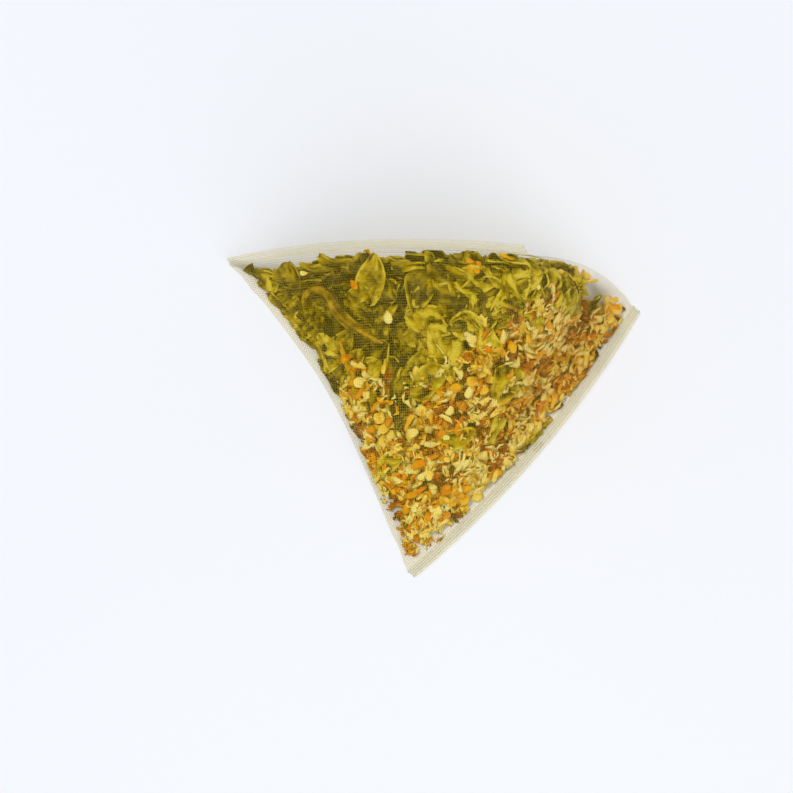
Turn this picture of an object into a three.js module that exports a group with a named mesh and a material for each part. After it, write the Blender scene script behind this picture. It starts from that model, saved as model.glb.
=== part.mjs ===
// Pyramid tea bag. A tube of nylon gauze is welded shut by two straight seals that cross each other, which
// gives it four corners. It lies wet and full on one face, with its fourth corner slumped back. Opened tea
// leaves fill the end by the raised far seal, and osmanthus blossoms the end by the near seal, which lies on
// the table. Millimetres, +Z up, z = 0 is the table.

import * as THREE from "three";
import { LoftGeometry } from "three/addons/geometries/LoftGeometry.js";
import { mergeVertices } from "three/addons/utils/BufferGeometryUtils.js";

const DEGREE = Math.PI / 180;

// The gauze tube, its two seals and its lengthwise lap weld
const SEAL_LENGTH = 58;
const SEAL_WIDTH = 1.6;
const SEAL_THICKNESS = 0.5;
const SEAL_BOW = 2.4;
const GAUZE_WALL = 0.4;
const LAP_THICKNESS = 0.2;
const WEAVE_RELIEF = 0.2;
const WEAVE_COLUMNS = 48;
const WEAVE_ROWS = 20;

// Where the bag lies: the middle and direction of each seal, seen from above, and how the far seal climbs
const NEAR_SEAL_MIDDLE = new THREE.Vector2(14.2, -5.9);
const NEAR_SEAL_TURN = 49.6 * DEGREE;
const FAR_SEAL_MIDDLE = new THREE.Vector2(-9.6, 23.4);
const FAR_SEAL_TURN = 1.5 * DEGREE;
const FAR_SEAL_RISE = 33 * DEGREE;

// The full belly: how round its middle is, how far it leans and how deep it presses on the table
const BELLY_ROUNDNESS = 2.5;
const SEAL_FLATNESS = 6;
const BELLY_LEAN = new THREE.Vector2(1.6, 1.2);
const BELLY_PRESS = 2.2;

// Tea leaves
const LEAF_THICKNESS = 0.5;
const LEAF_CRUMPLE = 0.5;
const LEAF_RIB = 0.25;
const LEAF_NESTLE = 0.85;

// Leaf stalks: a thick one that hooks over at its broken end, and a thin straight one
const HOOKED_STALK_DIAMETER = 1.8;
const STRAIGHT_STALK_DIAMETER = 1.1;

// Osmanthus blossoms
const BLOSSOM_DIAMETER = 4.6;
const BLOSSOM_HEIGHT = 1.8;
const BLOSSOM_TILT = 18 * DEGREE;
const BLOSSOM_ROWS = 5;
const PETAL_NOTCH = 0.55;

// Clearance that wet pieces keep to each other and to the gauze
const CLEARANCE = 0.3;

// Places along the tube run from 0 at the near seal to 1 at the far seal, and places around it from 0 at the
// right-hand corner over the top: 0.25 leads to the raised corner, 0.5 to the front one, 0.75 to the left one.
const FIRST_BLOSSOM_ROW = 0.13;
const BLOSSOM_AROUND = [0.05, 0.55];
const UPPER_LEAF_AROUND = [0.27, 0.47];
const UPPER_LEAVES = 2;
const CORNER_LEAF_AROUND = [0.48, 0.57];
const CORNER_LEAF_START = 0.77;
const BASE_LEAF_AROUND = [0.69, 0.83];
const BASE_LEAF_ZONE = [0.45, 0.66];
const BASE_LEAVES = 2;
const BACK_LEAF_AROUND = [0.84, 1.2];
const BACK_LEAVES = 3;
const OUTER_LEAF_END = 0.9;
const SECOND_LEAF_SPAN = 0.13;
const SECOND_FRONT_AROUND = [0.3, 0.49];
const SECOND_BACK_AROUND = [0.86, 1.15];
const SECOND_BACK_LEAVES = 2;
const LOWER_LEAF_ZONE = [0.34, 0.5];
const LOWER_LEAF_AROUND = [0.12, 0.38];
const LOWER_LEAVES = 3;
const SEAM_AROUND = 0.75;

// Routes of the stalks, as places along and around the tube
const HOOKED_STALK_ROUTE = [
  [0.825, 0.643],
  [0.86, 0.635],
  [0.875, 0.615],
  [0.855, 0.597],
  [0.815, 0.587],
  [0.77, 0.567],
  [0.735, 0.54],
  [0.71, 0.51],
];
const STRAIGHT_STALK_ROUTE = [
  [0.73, 0.59],
  [0.67, 0.577],
  [0.61, 0.562],
];

const nearAlong = new THREE.Vector3(Math.cos(NEAR_SEAL_TURN), Math.sin(NEAR_SEAL_TURN), 0);
const nearOut = new THREE.Vector3(Math.sin(NEAR_SEAL_TURN), -Math.cos(NEAR_SEAL_TURN), 0);
const nearMiddle = new THREE.Vector3(NEAR_SEAL_MIDDLE.x, NEAR_SEAL_MIDDLE.y, SEAL_THICKNESS / 2);

const farAlong = new THREE.Vector3(
  Math.cos(FAR_SEAL_TURN) * Math.cos(FAR_SEAL_RISE),
  Math.sin(FAR_SEAL_TURN) * Math.cos(FAR_SEAL_RISE),
  Math.sin(FAR_SEAL_RISE),
);
const farMiddle = new THREE.Vector3(
  FAR_SEAL_MIDDLE.x,
  FAR_SEAL_MIDDLE.y,
  (SEAL_LENGTH / 2) * Math.sin(FAR_SEAL_RISE) + SEAL_THICKNESS / 2,
);
const farOut = farMiddle.clone().sub(nearMiddle).projectOnPlane(farAlong).normalize();
const farFace = farAlong.clone().cross(farOut).normalize();

// Half widths of the two welds, measured along the slanted directions in which the sections are drawn
const nearWeldHalf = SEAL_THICKNESS / 2 / Math.abs(farAlong.z);
const farWeldHalf = SEAL_THICKNESS / 2 / Math.abs(nearAlong.dot(farFace));

const girth = 2 * SEAL_LENGTH;
const SECTION_SAMPLES = 256;

function signedPower(value, exponent) {
  return Math.sign(value) * Math.abs(value) ** exponent;
}

// Cross-section of the tube at t, from 0 at the near seal to 1 at the far seal. It is a superellipse drawn on
// the directions of the two seals, scaled so that its girth stays that of the tube. Places around it are even
// along the girth.
function section(t, inset = 0) {
  const halfNear = THREE.MathUtils.lerp(SEAL_LENGTH / 2, farWeldHalf, t);
  const halfFar = THREE.MathUtils.lerp(nearWeldHalf, SEAL_LENGTH / 2, t);
  const fullness = 4 * t * (1 - t);
  const exponent = 2 / THREE.MathUtils.lerp(SEAL_FLATNESS, BELLY_ROUNDNESS, fullness);
  const slant = nearAlong.dot(farAlong);

  const travelled = [0];
  const outline = [];
  for (let i = 0; i <= SECTION_SAMPLES; i += 1) {
    const angle = (2 * Math.PI * i) / SECTION_SAMPLES;
    const across = signedPower(Math.cos(angle), exponent);
    const up = signedPower(Math.sin(angle), exponent);
    outline.push(new THREE.Vector2(across, up));
    if (i > 0) {
      const stepNear = (across - outline[i - 1].x) * halfNear;
      const stepFar = (up - outline[i - 1].y) * halfFar;
      const step = Math.sqrt(stepNear ** 2 + stepFar ** 2 + 2 * slant * stepNear * stepFar);
      travelled.push(travelled[i - 1] + step);
    }
  }
  const stretch = girth / travelled[SECTION_SAMPLES];

  const centre = nearMiddle.clone().lerp(farMiddle, t);
  centre.add(new THREE.Vector3(BELLY_LEAN.x, BELLY_LEAN.y, -BELLY_PRESS).multiplyScalar(fullness));
  const reachNear = halfNear * stretch - inset;
  const reachFar = halfFar * stretch - inset;

  return (around) => {
    const target = (around - Math.floor(around)) * travelled[SECTION_SAMPLES];
    let low = 0;
    let high = SECTION_SAMPLES;
    while (high - low > 1) {
      const middle = (low + high) >> 1;
      if (travelled[middle] > target) {
        high = middle;
      } else {
        low = middle;
      }
    }
    const part = (target - travelled[low]) / (travelled[high] - travelled[low]);
    const spot = outline[low].clone().lerp(outline[high], part);
    const nearBow = SEAL_BOW * (1 - spot.x ** 2) * (1 - t) ** 2;
    const farBow = SEAL_BOW * (1 - spot.y ** 2) * t ** 2;
    return centre
      .clone()
      .addScaledVector(nearAlong, spot.x * reachNear)
      .addScaledVector(farAlong, spot.y * reachFar)
      .addScaledVector(nearOut, nearBow)
      .addScaledVector(farOut, farBow);
  };
}

// Outward normal of the tube, before the table flattens it
const NORMAL_STEP = 0.004;
function skinNormal(t, around) {
  const alongTube = section(t + NORMAL_STEP)(around).sub(section(t - NORMAL_STEP)(around));
  const here = section(t);
  const aroundTube = here(around + NORMAL_STEP).sub(here(around - NORMAL_STEP));
  return alongTube.cross(aroundTube).normalize();
}

// A point at a given depth under the gauze. The table lifts it to the same depth above the base.
function underSkin(t, around, depth) {
  const point = section(t)(around).addScaledVector(skinNormal(t, around), -depth);
  point.z = Math.max(point.z, depth);
  return point;
}

function material(colour, roughness, opacity = 1) {
  return new THREE.MeshStandardMaterial({
    color: colour,
    roughness,
    metalness: 0,
    opacity,
    transparent: opacity < 1,
  });
}

// One closed surface of a shape whose rows meet at a seam or come together at its ends
function mergedSurface(shape) {
  const surface = new THREE.BufferGeometry().copy(shape);
  surface.deleteAttribute("normal");
  surface.deleteAttribute("uv");
  return mergeVertices(surface);
}

const tea = new THREE.Group();

function addPiece(name, geometry, finish) {
  const mesh = new THREE.Mesh(geometry, finish);
  mesh.name = name;
  tea.add(mesh);
  return mesh;
}

// The gauze: an outer and an inner skin over one grid of threads. Ridges go over and under at every crossing,
// and single cells of the grid are open. The welds and the flat base have neither. The lap weld is an inner
// rib.
const OPEN_ROW_STEP = 2;
const OPEN_COLUMN_STEP = 3;
const WELD_ROW = 0.02;
const SEAM_COLUMN = Math.round(SEAM_AROUND * WEAVE_COLUMNS);

function gauzeGeometry() {
  const rows = [0, WELD_ROW];
  for (let k = 1; k < WEAVE_ROWS; k += 1) {
    rows.push(k / WEAVE_ROWS);
  }
  rows.push(1 - WELD_ROW, 1);
  const last = rows.length - 1;
  const points = [];
  const faces = [];

  function addRing(t, inset, relief, shift) {
    const at = section(t, inset);
    const first = points.length;
    for (let j = 0; j < WEAVE_COLUMNS; j += 1) {
      const around = j / WEAVE_COLUMNS;
      const point = at(around).add(shift);
      const isSeam = inset > 0 && j === SEAM_COLUMN;
      const floor = inset + (isSeam ? LAP_THICKNESS : 0);
      if (relief !== 0 && point.z > inset + GAUZE_WALL) {
        const side = j % 2 === 0 ? relief : -relief;
        point.addScaledVector(skinNormal(t, around), side);
      }
      point.z = Math.max(point.z, floor);
      points.push(point);
    }
    return (j) => first + ((j + WEAVE_COLUMNS) % WEAVE_COLUMNS);
  }

  function addQuad(a, b, c, d) {
    faces.push([a, b, c], [a, c, d]);
  }

  // A strip that closes a flattened ring from one fold to the other
  function closeRing(ring, facing) {
    for (let j = 0; j < WEAVE_COLUMNS / 2; j += 1) {
      const strip = [ring(j), ring(j + 1), ring(-j - 1), ring(-j)];
      const corners = strip.filter((corner, i) => strip.indexOf(corner) === i);
      if (facing < 0) {
        corners.reverse();
      }
      if (corners.length === 4) {
        addQuad(...corners);
      } else {
        faces.push(corners);
      }
    }
  }

  const flat = new THREE.Vector3();
  const reliefAt = rows.map((t, k) => (k < 2 || k > last - 2 ? 0 : WEAVE_RELIEF * (k % 2 === 0 ? 1 : -1)));
  const outer = rows.map((t, k) => addRing(t, 0, reliefAt[k], flat));
  const inner = rows.map((t, k) => {
    const isHollow = k > 0 && k < last;
    return isHollow ? addRing(t, GAUZE_WALL, reliefAt[k], flat) : null;
  });
  const nearEdge = addRing(0, 0, 0, nearOut.clone().multiplyScalar(SEAL_WIDTH));
  const farEdge = addRing(1, 0, 0, farOut.clone().multiplyScalar(SEAL_WIDTH));

  function isOpen(k, j) {
    if (k < 2 || k > last - 3 || k % OPEN_ROW_STEP !== 0) {
      return false;
    }
    if ((j + k / OPEN_ROW_STEP) % OPEN_COLUMN_STEP !== 0) {
      return false;
    }
    const corners = [inner[k](j), inner[k](j + 1), inner[k + 1](j), inner[k + 1](j + 1)];
    return corners.every((corner) => points[corner].z > 2 * GAUZE_WALL);
  }

  const outside = [nearEdge, ...outer, farEdge];
  for (let r = 0; r < outside.length - 1; r += 1) {
    const k = r - 1;
    for (let j = 0; j < WEAVE_COLUMNS; j += 1) {
      if (!isOpen(k, j)) {
        addQuad(outside[r](j), outside[r + 1](j), outside[r + 1](j + 1), outside[r](j + 1));
      }
    }
  }
  for (let k = 1; k < last - 1; k += 1) {
    for (let j = 0; j < WEAVE_COLUMNS; j += 1) {
      const low = [inner[k](j), inner[k](j + 1)];
      const high = [inner[k + 1](j), inner[k + 1](j + 1)];
      if (isOpen(k, j)) {
        addQuad(outer[k](j), outer[k + 1](j), high[0], low[0]);
        addQuad(outer[k + 1](j), outer[k + 1](j + 1), high[1], high[0]);
        addQuad(outer[k + 1](j + 1), outer[k](j + 1), low[1], high[1]);
        addQuad(outer[k](j + 1), outer[k](j), low[0], low[1]);
      } else {
        addQuad(low[0], low[1], high[1], high[0]);
      }
    }
  }
  closeRing(nearEdge, 1);
  closeRing(farEdge, -1);
  closeRing(inner[1], -1);
  closeRing(inner[last - 1], 1);

  const geometry = new THREE.BufferGeometry().setFromPoints(points);
  geometry.setIndex(faces.flat());
  return geometry;
}

addPiece("mesh_bag", gauzeGeometry(), material(0xe9e7c4, 0.45, 0.4));

// Room that each kind of filling takes under the gauze
const leafRoom = LEAF_THICKNESS + LEAF_RIB + 2 * LEAF_CRUMPLE;
const blossomRoom =
  BLOSSOM_HEIGHT * Math.cos(BLOSSOM_TILT) + BLOSSOM_DIAMETER * Math.sin(BLOSSOM_TILT);
const firstDepth = GAUZE_WALL + WEAVE_RELIEF + CLEARANCE;
const leafDepth = (layer) => firstDepth + leafRoom / 2 + layer * (leafRoom + CLEARANCE);
const lowerLeafDepth = firstDepth + blossomRoom + CLEARANCE + leafRoom / 2 - LEAF_NESTLE;

// Blossoms lie in staggered rows that run with the near seal, just under the upper gauze
const blossomPitch = BLOSSOM_DIAMETER + CLEARANCE;
const blossomDepth = firstDepth + blossomRoom / 2;
const flatBlossomDepth = firstDepth + BLOSSOM_HEIGHT / 2;
const SURVEY_STEP = 0.03;

// Steps along and around the tube that set neighbours one pitch apart at the blossoms' own depth
function rowStep(t) {
  const middle = (BLOSSOM_AROUND[0] + BLOSSOM_AROUND[1]) / 2;
  const here = underSkin(t, middle, blossomDepth);
  const gap = here.distanceTo(underSkin(t + SURVEY_STEP, middle, blossomDepth));
  return (SURVEY_STEP * blossomPitch) / gap;
}

function aroundStep(t, around) {
  const here = underSkin(t, around, blossomDepth);
  const gap = here.distanceTo(underSkin(t, around + SURVEY_STEP, blossomDepth));
  return (SURVEY_STEP * blossomPitch) / gap;
}

const blossomRows = [FIRST_BLOSSOM_ROW];
while (blossomRows.length < BLOSSOM_ROWS) {
  const previous = blossomRows.at(-1);
  blossomRows.push(previous + rowStep(previous));
}
const blossomEnd = blossomRows.at(-1) + rowStep(blossomRows.at(-1)) / 2;

// A tea leaf fills one patch of the skin, at one depth: a pointed oval with a raised midrib, crumpled by
// steeping. Its widths are shares of the patch.
const LEAF_STATIONS = 8;
const LEAF_TIP_SHARE = 0.04;
const LEAF_HALF_STRIPS = 2;
const LEAF_END_SHARE = 0.1;
const LEAF_BELLY_SHARE = 0.34;
const LEAF_OVAL = 0.8;
const LEAF_WIDEST = 0.85;
const MIDRIB_SWAY = 0.05;
const CRUMPLES_ALONG = 1.5;
const CRUMPLES_ACROSS = 0.7;
const LEAF_TURN = 1.7;

// Stations along a leaf: its two ends, which close in a short blunt edge, and even steps between them
function leafStation(i) {
  const between = THREE.MathUtils.clamp((i - 1) / (LEAF_STATIONS - 2), 0, 1);
  if (i === 0 || i === LEAF_STATIONS) {
    return i / LEAF_STATIONS;
  }
  return THREE.MathUtils.lerp(LEAF_TIP_SHARE, 1 - LEAF_TIP_SHARE, between);
}

function leafGeometry(patch, depth, turn) {
  const sections = [];
  const strips = 2 * LEAF_HALF_STRIPS;
  for (let i = 0; i <= LEAF_STATIONS; i += 1) {
    const along = leafStation(i);
    const belly = Math.sin(Math.PI * along ** LEAF_WIDEST) ** LEAF_OVAL;
    const halfWidth = LEAF_END_SHARE + LEAF_BELLY_SHARE * belly;
    const midrib = 0.5 + MIDRIB_SWAY * Math.sin(2 * Math.PI * along + turn);
    const isEnd = i === 0 || i === LEAF_STATIONS;
    const halfThickness = isEnd ? 0 : LEAF_THICKNESS / 2;
    const upper = [];
    const lower = [];
    for (let j = 0; j <= strips; j += 1) {
      const side = j / LEAF_HALF_STRIPS - 1;
      const spot = patch(along, midrib + halfWidth * side);
      const waveAlong = Math.sin(2 * Math.PI * CRUMPLES_ALONG * along + turn);
      const waveAcross = Math.cos(Math.PI * CRUMPLES_ACROSS * side + 2 * turn);
      const rib = j === LEAF_HALF_STRIPS && !isEnd ? LEAF_RIB : 0;
      const level = depth + LEAF_CRUMPLE * waveAlong * waveAcross;
      upper.unshift(underSkin(spot.t, spot.around, level - halfThickness));
      lower.push(underSkin(spot.t, spot.around, level + halfThickness + rib));
    }
    sections.push([...upper, ...lower]);
  }
  return mergedSurface(new LoftGeometry(sections, { closed: true }));
}

// Patches of the skin that run with the tube or around it
function patchAlongTube(t0, t1, around0, around1) {
  return (along, across) => ({
    t: THREE.MathUtils.lerp(t0, t1, along),
    around: THREE.MathUtils.lerp(around0, around1, across),
  });
}

function patchAroundTube(t0, t1, around0, around1) {
  return (along, across) => ({
    t: THREE.MathUtils.lerp(t1, t0, across),
    around: THREE.MathUtils.lerp(around0, around1, along),
  });
}

const leafGreens = [0x6f7a1e, 0x85862a, 0x5c6316, 0x9a9a3c];
let leafCount = 0;

function addLeaf(patch, depth) {
  leafCount += 1;
  const name = `tea_leaf_${String(leafCount).padStart(2, "0")}`;
  const finish = material(leafGreens[leafCount % leafGreens.length], 0.4);
  addPiece(name, leafGeometry(patch, depth, LEAF_TURN * leafCount), finish);
}

// Equal places for leaves side by side around the tube
function placesAround(start, end, count) {
  const step = (end - start) / count;
  return Array.from({ length: count }, (unused, i) => [start + i * step, start + (i + 1) * step]);
}

// Outer layer: leaves side by side along the tube, on its upper side, its base and its back. They stay clear of
// the tight fold at the raised corner, and leave a gap for the stalks by the left one.
const outerLeafZone = [blossomEnd, OUTER_LEAF_END];
const upperPlaces = placesAround(...UPPER_LEAF_AROUND, UPPER_LEAVES);
for (const place of [...upperPlaces, ...placesAround(...BACK_LEAF_AROUND, BACK_LEAVES)]) {
  addLeaf(patchAlongTube(...outerLeafZone, ...place), leafDepth(0));
}
addLeaf(patchAlongTube(CORNER_LEAF_START, OUTER_LEAF_END, ...CORNER_LEAF_AROUND), leafDepth(0));
for (const place of placesAround(...BASE_LEAF_AROUND, BASE_LEAVES)) {
  addLeaf(patchAlongTube(...BASE_LEAF_ZONE, ...place), leafDepth(0));
}

// Second layer: leaves laid around the tube, where the bag is thick enough for them
const secondLeafZone = [blossomEnd, blossomEnd + SECOND_LEAF_SPAN];
for (const place of [SECOND_FRONT_AROUND, ...placesAround(...SECOND_BACK_AROUND, SECOND_BACK_LEAVES)]) {
  addLeaf(patchAroundTube(...secondLeafZone, ...place), leafDepth(1));
}

// Leaves that nestle in the hollows between the blossoms and show there
for (const place of placesAround(...LOWER_LEAF_AROUND, LOWER_LEAVES)) {
  addLeaf(patchAroundTube(...LOWER_LEAF_ZONE, ...place), lowerLeafDepth);
}

// Stalks: bent twigs just under the gauze
const STALK_SIDES = 7;
const STALK_STEPS_PER_BEND = 3;

function addStalk(number, places, diameter) {
  const rim = Array.from({ length: STALK_SIDES }, (unused, i) => {
    const angle = (2 * Math.PI * i) / STALK_SIDES;
    return new THREE.Vector2(Math.cos(angle), Math.sin(angle)).multiplyScalar(diameter / 2);
  });
  const route = places.map(([t, around]) => underSkin(t, around, firstDepth + diameter / 2));
  const geometry = new THREE.ExtrudeGeometry(new THREE.Shape(rim), {
    steps: STALK_STEPS_PER_BEND * (places.length - 1),
    extrudePath: new THREE.CatmullRomCurve3(route),
  });
  addPiece(`leaf_stalk_${number}`, geometry, material(0x8a7a2c, 0.5));
}

addStalk(1, HOOKED_STALK_ROUTE, HOOKED_STALK_DIAMETER);
addStalk(2, STRAIGHT_STALK_ROUTE, STRAIGHT_STALK_DIAMETER);

// Osmanthus blossom: a shallow cup of four petals
const BLOSSOM_SEGMENTS = 12;
const THROAT_SHARE = 0.35;
const LIP_SHARE = 0.95;
const PETAL_THICKNESS = 0.5;
const BLOSSOM_TURN = 0.9;
const TILT_TURN = 2.4;
const TILT_SWING = 1.3;

function blossomGeometry() {
  const radius = BLOSSOM_DIAMETER / 2;
  const half = BLOSSOM_HEIGHT / 2;
  const throat = THROAT_SHARE * radius;
  const profile = [
    new THREE.Vector2(0, -half),
    new THREE.Vector2(throat, -half),
    new THREE.Vector2(radius, half - PETAL_THICKNESS),
    new THREE.Vector2(LIP_SHARE * radius, half),
    new THREE.Vector2(throat, -half + 2 * PETAL_THICKNESS),
    new THREE.Vector2(0, -half + PETAL_THICKNESS),
  ];
  const geometry = new THREE.LatheGeometry(profile, BLOSSOM_SEGMENTS);
  geometry.rotateX(Math.PI / 2);
  const places = geometry.getAttribute("position");
  for (let i = 0; i < places.count; i += 1) {
    const angle = Math.atan2(places.getY(i), places.getX(i));
    const distance = Math.hypot(places.getX(i), places.getY(i));
    const notch = PETAL_NOTCH * Math.cos(2 * angle) ** 4 * THREE.MathUtils.smoothstep(distance, 0, radius);
    places.setX(i, places.getX(i) * (1 - notch));
    places.setY(i, places.getY(i) * (1 - notch));
  }
  return mergedSurface(geometry);
}

const blossomColours = [0xe2b24a, 0xd8932c, 0xe8d27c, 0xc98438];
const upright = new THREE.Vector3(0, 0, 1);
let blossomCount = 0;

function addBlossom(centre, normal, mostTilt) {
  blossomCount += 1;
  const blossom = addPiece(
    `osmanthus_blossom_${String(blossomCount).padStart(2, "0")}`,
    blossomGeometry(),
    material(blossomColours[blossomCount % blossomColours.length], 0.6),
  );
  const tiltAxis = new THREE.Vector3(1, 0, 0).applyAxisAngle(upright, TILT_TURN * blossomCount);
  const tiltAngle = mostTilt * Math.sin(TILT_SWING * blossomCount);
  const tilt = new THREE.Quaternion().setFromAxisAngle(tiltAxis, tiltAngle);
  const spin = new THREE.Quaternion().setFromAxisAngle(upright, BLOSSOM_TURN * blossomCount);
  blossom.position.copy(centre);
  blossom.quaternion.setFromUnitVectors(upright, normal).multiply(tilt).multiply(spin);
}

// A blossom keeps out of the places where the rows crowd together, and lies flat where the bag is thin
const blossomCentres = [];

function placeBlossom(t, around) {
  const isTilted = underSkin(t, around, blossomDepth).z > blossomDepth;
  const depth = isTilted ? blossomDepth : flatBlossomDepth;
  const centre = underSkin(t, around, depth);
  const isClear = blossomCentres.every((other) => other.distanceTo(centre) >= blossomPitch - CLEARANCE / 2);
  if (isClear && centre.z > depth) {
    blossomCentres.push(centre);
    addBlossom(centre, skinNormal(t, around), isTilted ? BLOSSOM_TILT : 0);
  }
}

blossomRows.forEach((t, row) => {
  const stagger = row % 2 === 0 ? 0 : aroundStep(t, BLOSSOM_AROUND[0]) / 2;
  let around = BLOSSOM_AROUND[0] + stagger;
  while (around < BLOSSOM_AROUND[1]) {
    placeBlossom(t, around);
    around += aroundStep(t, around);
  }
});

// The origin is under the middle of the bag's box, on the table
const box = new THREE.Box3().setFromObject(tea, true);
tea.position.set(-(box.min.x + box.max.x) / 2, -(box.min.y + box.max.y) / 2, -box.min.z);

export default tea;
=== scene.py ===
# %% [markdown]
# # Pyramid tea bag
# The real bag is one strip of fine nylon gauze. A machine laps it into a tube, welds one end flat, fills it,
# and welds the other end flat at a right angle to the first. The two crossed seals give the four corners.
# This lesson dresses the solid model of that bag: woven threads, clear welds, steeped tea leaves, leaf stalks
# and osmanthus blossoms. The solid model is loaded first and stays where it is, as the frame for everything.

# %% The frame
import math
import random

import bmesh
import bpy
import numpy as np
from mathutils import Matrix, Vector, noise
from mathutils.bvhtree import BVHTree


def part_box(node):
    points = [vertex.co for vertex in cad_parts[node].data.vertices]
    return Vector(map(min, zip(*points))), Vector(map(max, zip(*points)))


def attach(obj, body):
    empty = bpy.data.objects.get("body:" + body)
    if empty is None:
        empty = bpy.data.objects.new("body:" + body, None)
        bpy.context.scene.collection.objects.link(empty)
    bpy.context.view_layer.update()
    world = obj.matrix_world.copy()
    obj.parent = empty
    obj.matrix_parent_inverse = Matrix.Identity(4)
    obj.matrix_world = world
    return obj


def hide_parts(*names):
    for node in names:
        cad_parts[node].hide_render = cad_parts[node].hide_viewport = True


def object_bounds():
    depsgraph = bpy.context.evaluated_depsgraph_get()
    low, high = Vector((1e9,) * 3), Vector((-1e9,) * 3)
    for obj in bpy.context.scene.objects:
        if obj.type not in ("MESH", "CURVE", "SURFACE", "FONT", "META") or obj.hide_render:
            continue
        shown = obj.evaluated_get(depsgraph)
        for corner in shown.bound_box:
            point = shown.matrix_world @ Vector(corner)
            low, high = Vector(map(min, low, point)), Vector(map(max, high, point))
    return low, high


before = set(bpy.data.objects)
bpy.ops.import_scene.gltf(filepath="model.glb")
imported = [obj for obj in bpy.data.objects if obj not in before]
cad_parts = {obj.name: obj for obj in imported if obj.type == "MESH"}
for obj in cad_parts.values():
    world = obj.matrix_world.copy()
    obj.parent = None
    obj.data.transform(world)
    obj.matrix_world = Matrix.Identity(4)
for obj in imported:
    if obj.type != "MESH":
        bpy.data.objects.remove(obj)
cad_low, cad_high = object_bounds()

print("frame:", len(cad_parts), "solids in a box of", [round(x, 4) for x in cad_high - cad_low])

# %% [markdown]
# ## The form of the bag
# A flat tube that is welded at both ends, across each other, keeps the same girth all along. Each section
# between the seals is drawn as a rounded box on the directions of the two seals, and scaled to that girth.
# The sizes below are those of the solid model, in metres. All that follows is laid out flat first, as
# (distance around, distance along, height), and then wrapped on this form, just as the real gauze is.

# %% Sizes of the tube and its seals
MM = 0.001
DEGREE = math.pi / 180
SEAL_LENGTH = 58 * MM
SEAL_WIDTH = 1.6 * MM
SEAL_THICKNESS = 0.5 * MM
SEAL_BOW = 2.4 * MM
NEAR_SEAL_MIDDLE = np.array([14.2, -5.9]) * MM
NEAR_SEAL_TURN = 49.6 * DEGREE
FAR_SEAL_MIDDLE = np.array([-9.6, 23.4]) * MM
FAR_SEAL_TURN = 1.5 * DEGREE
FAR_SEAL_RISE = 33 * DEGREE
BELLY_ROUNDNESS = 2.5
SEAL_FLATNESS = 6
BELLY_LEAN = np.array([1.6, 1.2, -2.2]) * MM
SEAM_AROUND = 0.75
GIRTH = 2 * SEAL_LENGTH


def unit(vector):
    return vector / np.linalg.norm(vector)


def lerp(first, second, share):
    return first + (second - first) * share


near_along = np.array([math.cos(NEAR_SEAL_TURN), math.sin(NEAR_SEAL_TURN), 0])
near_out = np.array([math.sin(NEAR_SEAL_TURN), -math.cos(NEAR_SEAL_TURN), 0])
near_middle = np.array([*NEAR_SEAL_MIDDLE, SEAL_THICKNESS / 2])
far_level = np.array([math.cos(FAR_SEAL_TURN), math.sin(FAR_SEAL_TURN), 0])
far_along = far_level * math.cos(FAR_SEAL_RISE) + np.array([0, 0, math.sin(FAR_SEAL_RISE)])
far_height = SEAL_LENGTH / 2 * math.sin(FAR_SEAL_RISE) + SEAL_THICKNESS / 2
far_middle = np.array([*FAR_SEAL_MIDDLE, far_height])
between_seals = far_middle - near_middle
far_out = unit(between_seals - far_along * between_seals.dot(far_along))
near_weld_half = SEAL_THICKNESS / 2 / abs(far_along[2])
far_weld_half = SEAL_THICKNESS / 2 / abs(near_along.dot(unit(np.cross(far_along, far_out))))
print("seals:", SEAL_LENGTH, "m long, girth of the tube:", GIRTH, "m")

# %% A survey of the skin
SURVEY_ROWS = 200
SURVEY_COLUMNS = 480
SECTION_SAMPLES = 256


def signed_power(value, exponent):
    return np.sign(value) * np.abs(value) ** exponent


def section(t, around):
    """Points of the tube at t, from 0 at the near seal to 1 at the far seal, before the table flattens it."""
    half_near = lerp(SEAL_LENGTH / 2, far_weld_half, t)
    half_far = lerp(near_weld_half, SEAL_LENGTH / 2, t)
    fullness = 4 * t * (1 - t)
    exponent = 2 / lerp(SEAL_FLATNESS, BELLY_ROUNDNESS, fullness)
    angle = np.linspace(0, 2 * math.pi, SECTION_SAMPLES + 1)
    across = signed_power(np.cos(angle), exponent)
    up = signed_power(np.sin(angle), exponent)
    steps = np.outer(np.diff(across) * half_near, near_along) + np.outer(np.diff(up) * half_far, far_along)
    travelled = np.concatenate([[0], np.cumsum(np.linalg.norm(steps, axis=1))])
    stretch = GIRTH / travelled[-1]
    x = np.interp(around * travelled[-1], travelled, across)
    y = np.interp(around * travelled[-1], travelled, up)
    points = lerp(near_middle, far_middle, t) + fullness * BELLY_LEAN
    points = points + np.outer(x * half_near * stretch, near_along)
    points = points + np.outer(y * half_far * stretch, far_along)
    points = points + np.outer(SEAL_BOW * (1 - x**2) * (1 - t) ** 2, near_out)
    return points + np.outer(SEAL_BOW * (1 - y**2) * t**2, far_out)


survey_around = np.linspace(0, 1, SURVEY_COLUMNS + 1)
skin = np.array([section(t, survey_around) for t in np.linspace(0, 1, SURVEY_ROWS + 1)])
along_steps = np.gradient(skin, axis=0)
around_steps = np.roll(skin[:, :-1], -1, axis=1) - np.roll(skin[:, :-1], 1, axis=1)
around_steps = np.concatenate([around_steps, around_steps[:, :1]], axis=1)
skin_normals = np.cross(along_steps, around_steps)
skin_normals /= np.linalg.norm(skin_normals, axis=2, keepdims=True)
tube_length = float(np.linalg.norm(np.diff(skin, axis=0), axis=2).sum(axis=0).mean())

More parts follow.
